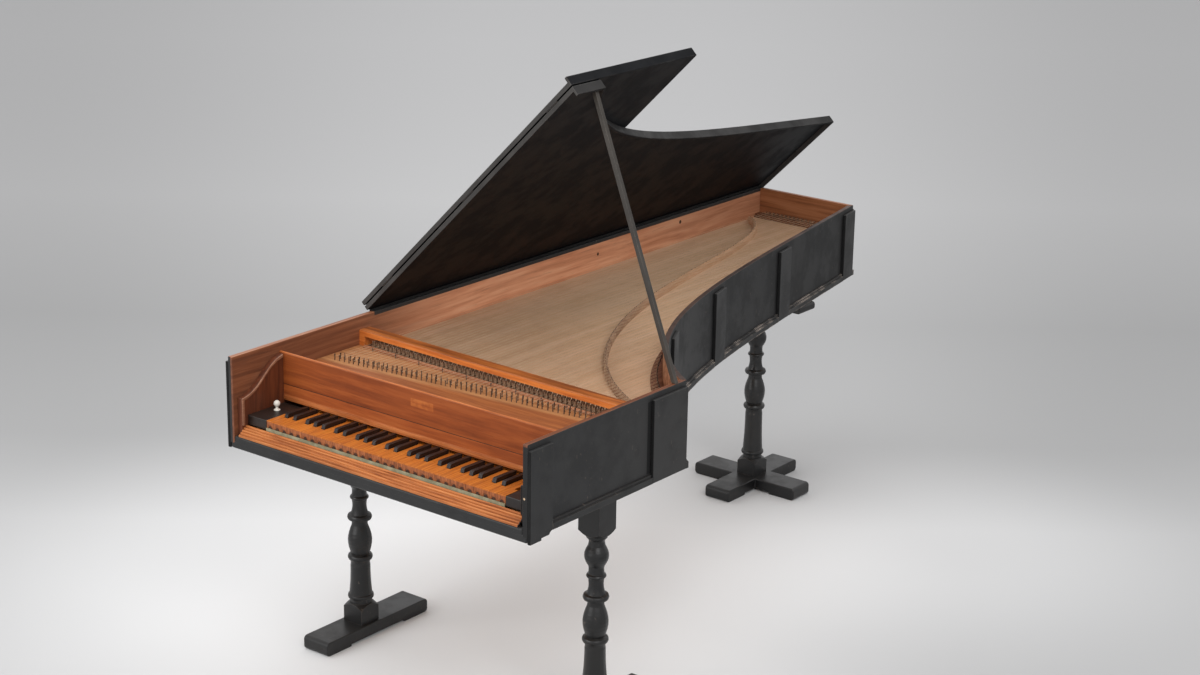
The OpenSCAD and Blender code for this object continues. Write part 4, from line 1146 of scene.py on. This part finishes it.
@dataclass
class Stringing:
    """Wrestplank, pins, nut, strings, bridge, hitch rail and soundboard."""

    nail_step: float = 82.0
    nail_first: float = 78.0
    nail_count: int = 10
    nail_height: float = 9.0
    nail_stem: tuple[float, float] = (0.0011, 0.0009)
    nail_head: tuple[float, float] = (0.0024, 0.0016)
    nail_head_depth: float = 0.0014
    nail_y: float = 412.0
    nail_skew: float = 0.033
    middle_x: float = 475.0
    nail_z: float = 146.0
    plank_change: float = 334.0
    pin_slim: float = 0.72
    pin_height: tuple[float, float] = (0.90, 1.0)
    pin_lean: float = 3.0
    shade_y: float = 1000.0
    curve_at: Point = (640.0, 1150.0, 0.0)
    fade_at: Point = (300.0, 1250.0, 0.0)

    def nails(self, shop: Workshop) -> None:
        """Makes the row of dark nails along the nut.

        Args:
            shop: The workshop.
        """
        shape = bmesh.new()
        for k in range(self.nail_count):
            x = self.nail_first + k * self.nail_step
            foot = at(x, self.nail_y - self.nail_skew * (x - self.middle_x), self.nail_z)
            tall = self.nail_height / 1000
            stem = (tall / 2, tall, self.nail_stem)
            head = (tall, self.nail_head_depth, self.nail_head)
            for rise, depth, radii in (stem, head):
                bmesh.ops.create_cone(shape, cap_ends=True, segments=8, radius1=radii[0], radius2=radii[1],
                                      depth=depth, matrix=Matrix.Translation(foot + rise * UP))
        nails = shop.piece("nut_nails", shape)
        shop.adopt(nails, "tuning_pins", shop.material("black_iron", (IRON, None)), stands_in=False)

    def pins(self, shop: Workshop) -> None:
        """Makes the tuning pins: slimmer than the solids, each with its own lean and height.

        Args:
            shop: The workshop.
        """
        shape = bmesh.new()
        shape.from_mesh(shop.nodes["tuning_pins"].data)
        bmesh.ops.remove_doubles(shape, verts=shape.verts, dist=WELD)
        chance = random.Random(11)
        for verts in islands(shape):
            low = min(v.co.z for v in verts)
            middle = sum((v.co for v in verts), Vector()) / len(verts)
            foot = Vector((middle.x, middle.y, low))
            height = chance.uniform(*self.pin_height)
            slim = Matrix.Diagonal((self.pin_slim, self.pin_slim, height, 1.0))
            lean = Matrix.Rotation(math.radians(chance.uniform(-self.pin_lean, self.pin_lean)), 4, "Y")
            turn = Matrix.Rotation(chance.uniform(0.0, math.pi), 4, "Z")
            placed = Matrix.Translation(foot) @ lean @ turn @ slim @ Matrix.Translation(-foot)
            bmesh.ops.transform(shape, matrix=placed, verts=verts)
        made = shop.piece("tuning_pins_piece", shape)
        shop.adopt(made, "tuning_pins", shop.material("pin_iron", (PIN_IRON, None)))

    def build(self, shop: Workshop) -> None:
        """Makes and dresses all that carries the strings.

        Args:
            shop: The workshop.
        """
        near = beyond_mask(FORWARD, at(0, self.shade_y, 0), 0.35)
        curve = beyond_mask(CURVE_OUT, at(*self.curve_at), 0.22)
        shaded = join_masks("MAXIMUM", near, curve)
        board = shop.material("soundboard_wood", (BOARD_WOOD, None), (BOARD_SHADE, shaded), dust=0.12)
        shop.dress(board, "soundboard")
        behind = beyond_mask(PLANK_BACK, at(self.middle_x, self.plank_change, 0), 0.012)
        plank = shop.material("wrestplank_wood", (PLANK_FRONT, None), (PLANK_WOOD, behind))
        shop.dress(plank, "wrestplank")
        fading = beyond_mask(BRIDGE_BACK, at(*self.fade_at), 0.30)
        bridge = shop.material("bridge_wood", (BRIDGE_WOOD, None), (BOARD_SHADE, fading))
        shop.softened("bridge", bridge, 0.0008)
        shop.softened("hitch_rail", shop.material("hitch_wood", (FRONT_WOOD, None)), 0.0012)
        shop.softened("nut", shop.material("nut_wood", (NUT_WOOD, None)), 0.0006)
        iron = shop.material("black_iron", (IRON, None))
        shop.dress(iron, "small_pins")
        self.pins(shop)
        shop.dress(shop.material("brass_wire", (BRASS, None)), "strings")
        self.nails(shop)


@dataclass
class Lid:
    """The lid, its folded flap, the hinges and the prop stick."""

    listing_y: tuple[float, float] = (500.0, 2274.0)
    # Each strip has its x from and to, then its z from and to.
    listing: tuple[tuple[float, float, float, float], ...] = (
        (0.4, 3.4, 221.8, 225.9), (-3.6, 0.0, 215.0, 221.6), (-3.6, -2.8, 221.5, 226.0))

    def build(self, shop: Workshop) -> None:
        """Makes and dresses the lid.

        Args:
            shop: The workshop.
        """
        ahead = facing_mask(FORWARD, 0.6, 0.8)
        rim = facing_mask(LID_RIM_OUT, 0.6, 0.8)
        panel = shop.material("lid_paint", (BLACK_LID, None), (RIM_LID, rim), (GREY_LID, ahead))
        shop.softened("lid_panel", panel, 0.002, 3)
        flap = shop.material("flap_paint", (BLACK_LID, None), (GREY_LID, ahead))
        shop.softened("lid_flap", flap, 0.002, 3)
        shop.softened("prop_stick", shop.material("stick_wood", (STICK_BLACK, None)), 0.0012)
        iron = shop.material("black_iron", (IRON, None))
        shop.dress(iron, "lid_hinges", "flap_hinges")
        start, end = self.listing_y
        strips = [((x0, start, z0), (x1, end, z1)) for x0, x1, z0, z1 in self.listing]
        strip = box_piece(shop, "hinge_listing", *strips)
        shop.adopt(strip, "spine_wall", shop.material("black_cloth", (BLACK_CLOTH, None)), stands_in=False)


@dataclass
class Stand:
    """Turned legs, their feet and the bearers under the case."""

    def build(self, shop: Workshop) -> None:
        """Makes and dresses the stand.

        Args:
            shop: The workshop.
        """
        black = shop.material("stand_paint", (BLACK_STAND, None), dust=0.03)
        shop.dress(black, "turned_legs")
        shop.softened("leg_feet", black, 0.003, 3)
        shop.softened("bearers", black, 0.002, 2)


@dataclass
class Studio:
    """Floor, light and camera of the photograph."""

    lens: float = 70.4
    yaw: float = 0.6648
    pitch: float = 0.3097
    roll: float = 0.0160
    eye: Point = (3.576, -4.838, 2.627)
    shift: tuple[float, float] = (0.0017, -0.0002)
    floor_half: float = 30.0
    # Painted light on the floor: tones by the distance from the camera, and pools of light by x, y, inner
    # radius, outer radius and gain.
    ground_tones: tuple[tuple[float, float], ...] = (
        (4.2, 0.52), (5.7, 0.54), (6.4, 0.56), (7.1, 0.46), (8.4, 0.44), (10.2, 0.57), (14.0, 0.62))
    painted_light_pools: tuple[tuple[float, float, float, float, float], ...] = (
        (-0.50, -0.48, 0.35, 1.6, 0.56), (0.55, 0.72, 0.15, 0.95, 0.27))
    lamps: tuple[tuple[str, Point, Point, float, float], ...] = (
        ("key_softbox", (4.0, -3.2, 4.6), (0.2, -0.4, 0.7), 3.0, 150.0),
        ("top_softbox", (-0.6, 0.4, 5.2), (0.0, 0.2, 0.8), 4.0, 90.0),
        ("front_softbox", (-1.6, -4.6, 2.2), (-0.3, -0.4, 0.4), 3.0, 80.0))
    film: float = 36.0
    surround: Colour = (0.755, 0.755, 0.765)
    surround_strength: float = 1.05
    near_limit: float = 3.5
    side_start: float = 0.03
    side_end: float = 0.25
    side_shade: float = 0.80

    def camera(self) -> None:
        """Places the camera as it stood for the photograph."""
        forward = Vector((-math.sin(self.yaw) * math.cos(self.pitch),
                          math.cos(self.yaw) * math.cos(self.pitch), -math.sin(self.pitch)))
        right = Vector((math.cos(self.yaw), math.sin(self.yaw), 0.0))
        up = right.cross(forward)
        tilted_right = right * math.cos(self.roll) + up * math.sin(self.roll)
        tilted_up = -right * math.sin(self.roll) + up * math.cos(self.roll)
        turn = Matrix((tilted_right, tilted_up, -forward)).transposed()
        data = bpy.data.cameras.new("camera")
        data.lens = self.lens
        data.sensor_width = self.film
        data.shift_x, data.shift_y = self.shift
        data.clip_end = 200.0
        camera = bpy.data.objects.new("camera", data)
        camera.matrix_world = Matrix.Translation(self.eye) @ turn.to_4x4()
        bpy.context.scene.collection.objects.link(camera)
        bpy.context.scene.camera = camera

    def floor(self) -> None:
        """Makes the pale floor, which darkens with the distance as painted light falloff, darker to the
        sides as painted shade, with painted pools of light.
        """
        shape = bmesh.new()
        bmesh.ops.create_grid(shape, x_segments=2, y_segments=2, size=self.floor_half)
        mesh = bpy.data.meshes.new("floor")
        shape.to_mesh(mesh)
        shape.free()
        floor = bpy.data.objects.new("floor", mesh)
        bpy.context.scene.collection.objects.link(floor)
        material = bpy.data.materials.new("studio_floor")
        material.use_nodes = True
        material.node_tree.nodes.clear()
        sheet = Sheet(material.node_tree)
        place = sheet.node("ShaderNodeTexCoord").outputs["Object"]
        away = Vector((-math.sin(self.yaw), math.cos(self.yaw), 0.0))
        start = Vector((self.eye[0], self.eye[1], 0.0)).dot(away)
        reach = self.ground_tones[-1][0]
        distance = sheet.sum("SUBTRACT", sheet.along(place, away), start)
        share = sheet.sum("DIVIDE", distance, reach, clamp=True)
        tone = sheet.ramp(share, [(d / reach, (t, t, t)) for d, t in self.ground_tones])
        right = Vector((math.cos(self.yaw), math.sin(self.yaw), 0.0))
        off = sheet.sum("SUBTRACT", sheet.along(place, right), Vector((*self.eye[:2], 0.0)).dot(right))
        ahead = sheet.sum("MAXIMUM", distance, self.near_limit)
        aside = sheet.sum("ABSOLUTE", sheet.sum("DIVIDE", off, ahead))
        # Painted shade: the floor darkens to the sides.
        shade = sheet.between(aside, self.side_start, self.side_end, 0.0, 1.0)
        tone = sheet.blend(sheet.times(shade, 1.0 - self.side_shade), tone, (0.0, 0.0, 0.0))
        # Painted pools of light that brighten parts of the floor, the first where the case's shadow falls.
        for x, y, inner, outer, gain in self.painted_light_pools:
            middle = sheet.node("ShaderNodeVectorMath", {0: place, 1: (x, y, 0.0)}, operation="DISTANCE")
            lit = sheet.between(middle.outputs["Value"], outer, inner, 1.0, 1.0 + gain)
            tone = sheet.blend(1.0, tone, lit, "MULTIPLY")
        shader = sheet.node("ShaderNodeBsdfPrincipled", {"Base Color": tone, "Roughness": 0.9})
        shader.inputs["Specular IOR Level"].default_value = 0.2
        sheet.node("ShaderNodeOutputMaterial", {0: shader.outputs[0]})
        mesh.materials.append(material)

    def lamp(self, name: str, place: Point, aim: Point, size: float, power: float) -> None:
        """Adds one softbox.

        Args:
            name: The lamp's name.
            place: Where it hangs.
            aim: The point that it looks at.
            size: The side of its square.
            power: Its power in watts.
        """
        data = bpy.data.lights.new(name, "AREA")
        data.size = size
        data.energy = power
        lamp = bpy.data.objects.new(name, data)
        lamp.location = place
        lamp.rotation_mode = "QUATERNION"
        lamp.rotation_quaternion = (Vector(aim) - Vector(place)).to_track_quat("-Z", "Y")
        bpy.context.scene.collection.objects.link(lamp)

    def light(self) -> None:
        """Sets the soft studio light and the colour of the surroundings."""
        world = bpy.data.worlds.new("studio")
        bpy.context.scene.world = world
        world.use_nodes = True
        world.node_tree.nodes.clear()
        sheet = Sheet(world.node_tree)
        back = sheet.node("ShaderNodeBackground", {"Color": self.surround,
                                                    "Strength": self.surround_strength})
        sheet.node("ShaderNodeOutputWorld", {0: back.outputs[0]})
        for name, place, aim, size, power in self.lamps:
            self.lamp(name, place, aim, size, power)

    def build(self) -> None:
        """Makes the studio."""
        self.camera()
        self.floor()
        self.light()
        settings = bpy.context.scene.view_settings
        settings.view_transform = "Standard"


def main() -> None:
    """Builds every sub-assembly in order."""
    logging.basicConfig(level=logging.INFO, format="%(name)s %(message)s")
    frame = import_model()
    Studio().build()
    shop = Workshop(frame)
    for assembly in (CaseWork(), Keywell(), Keyboard(), Action(), Stringing(), Lid(), Stand()):
        assembly.build(shop)
        log.info("%s done", type(assembly).__name__)


if __name__ == "__main__":
    main()
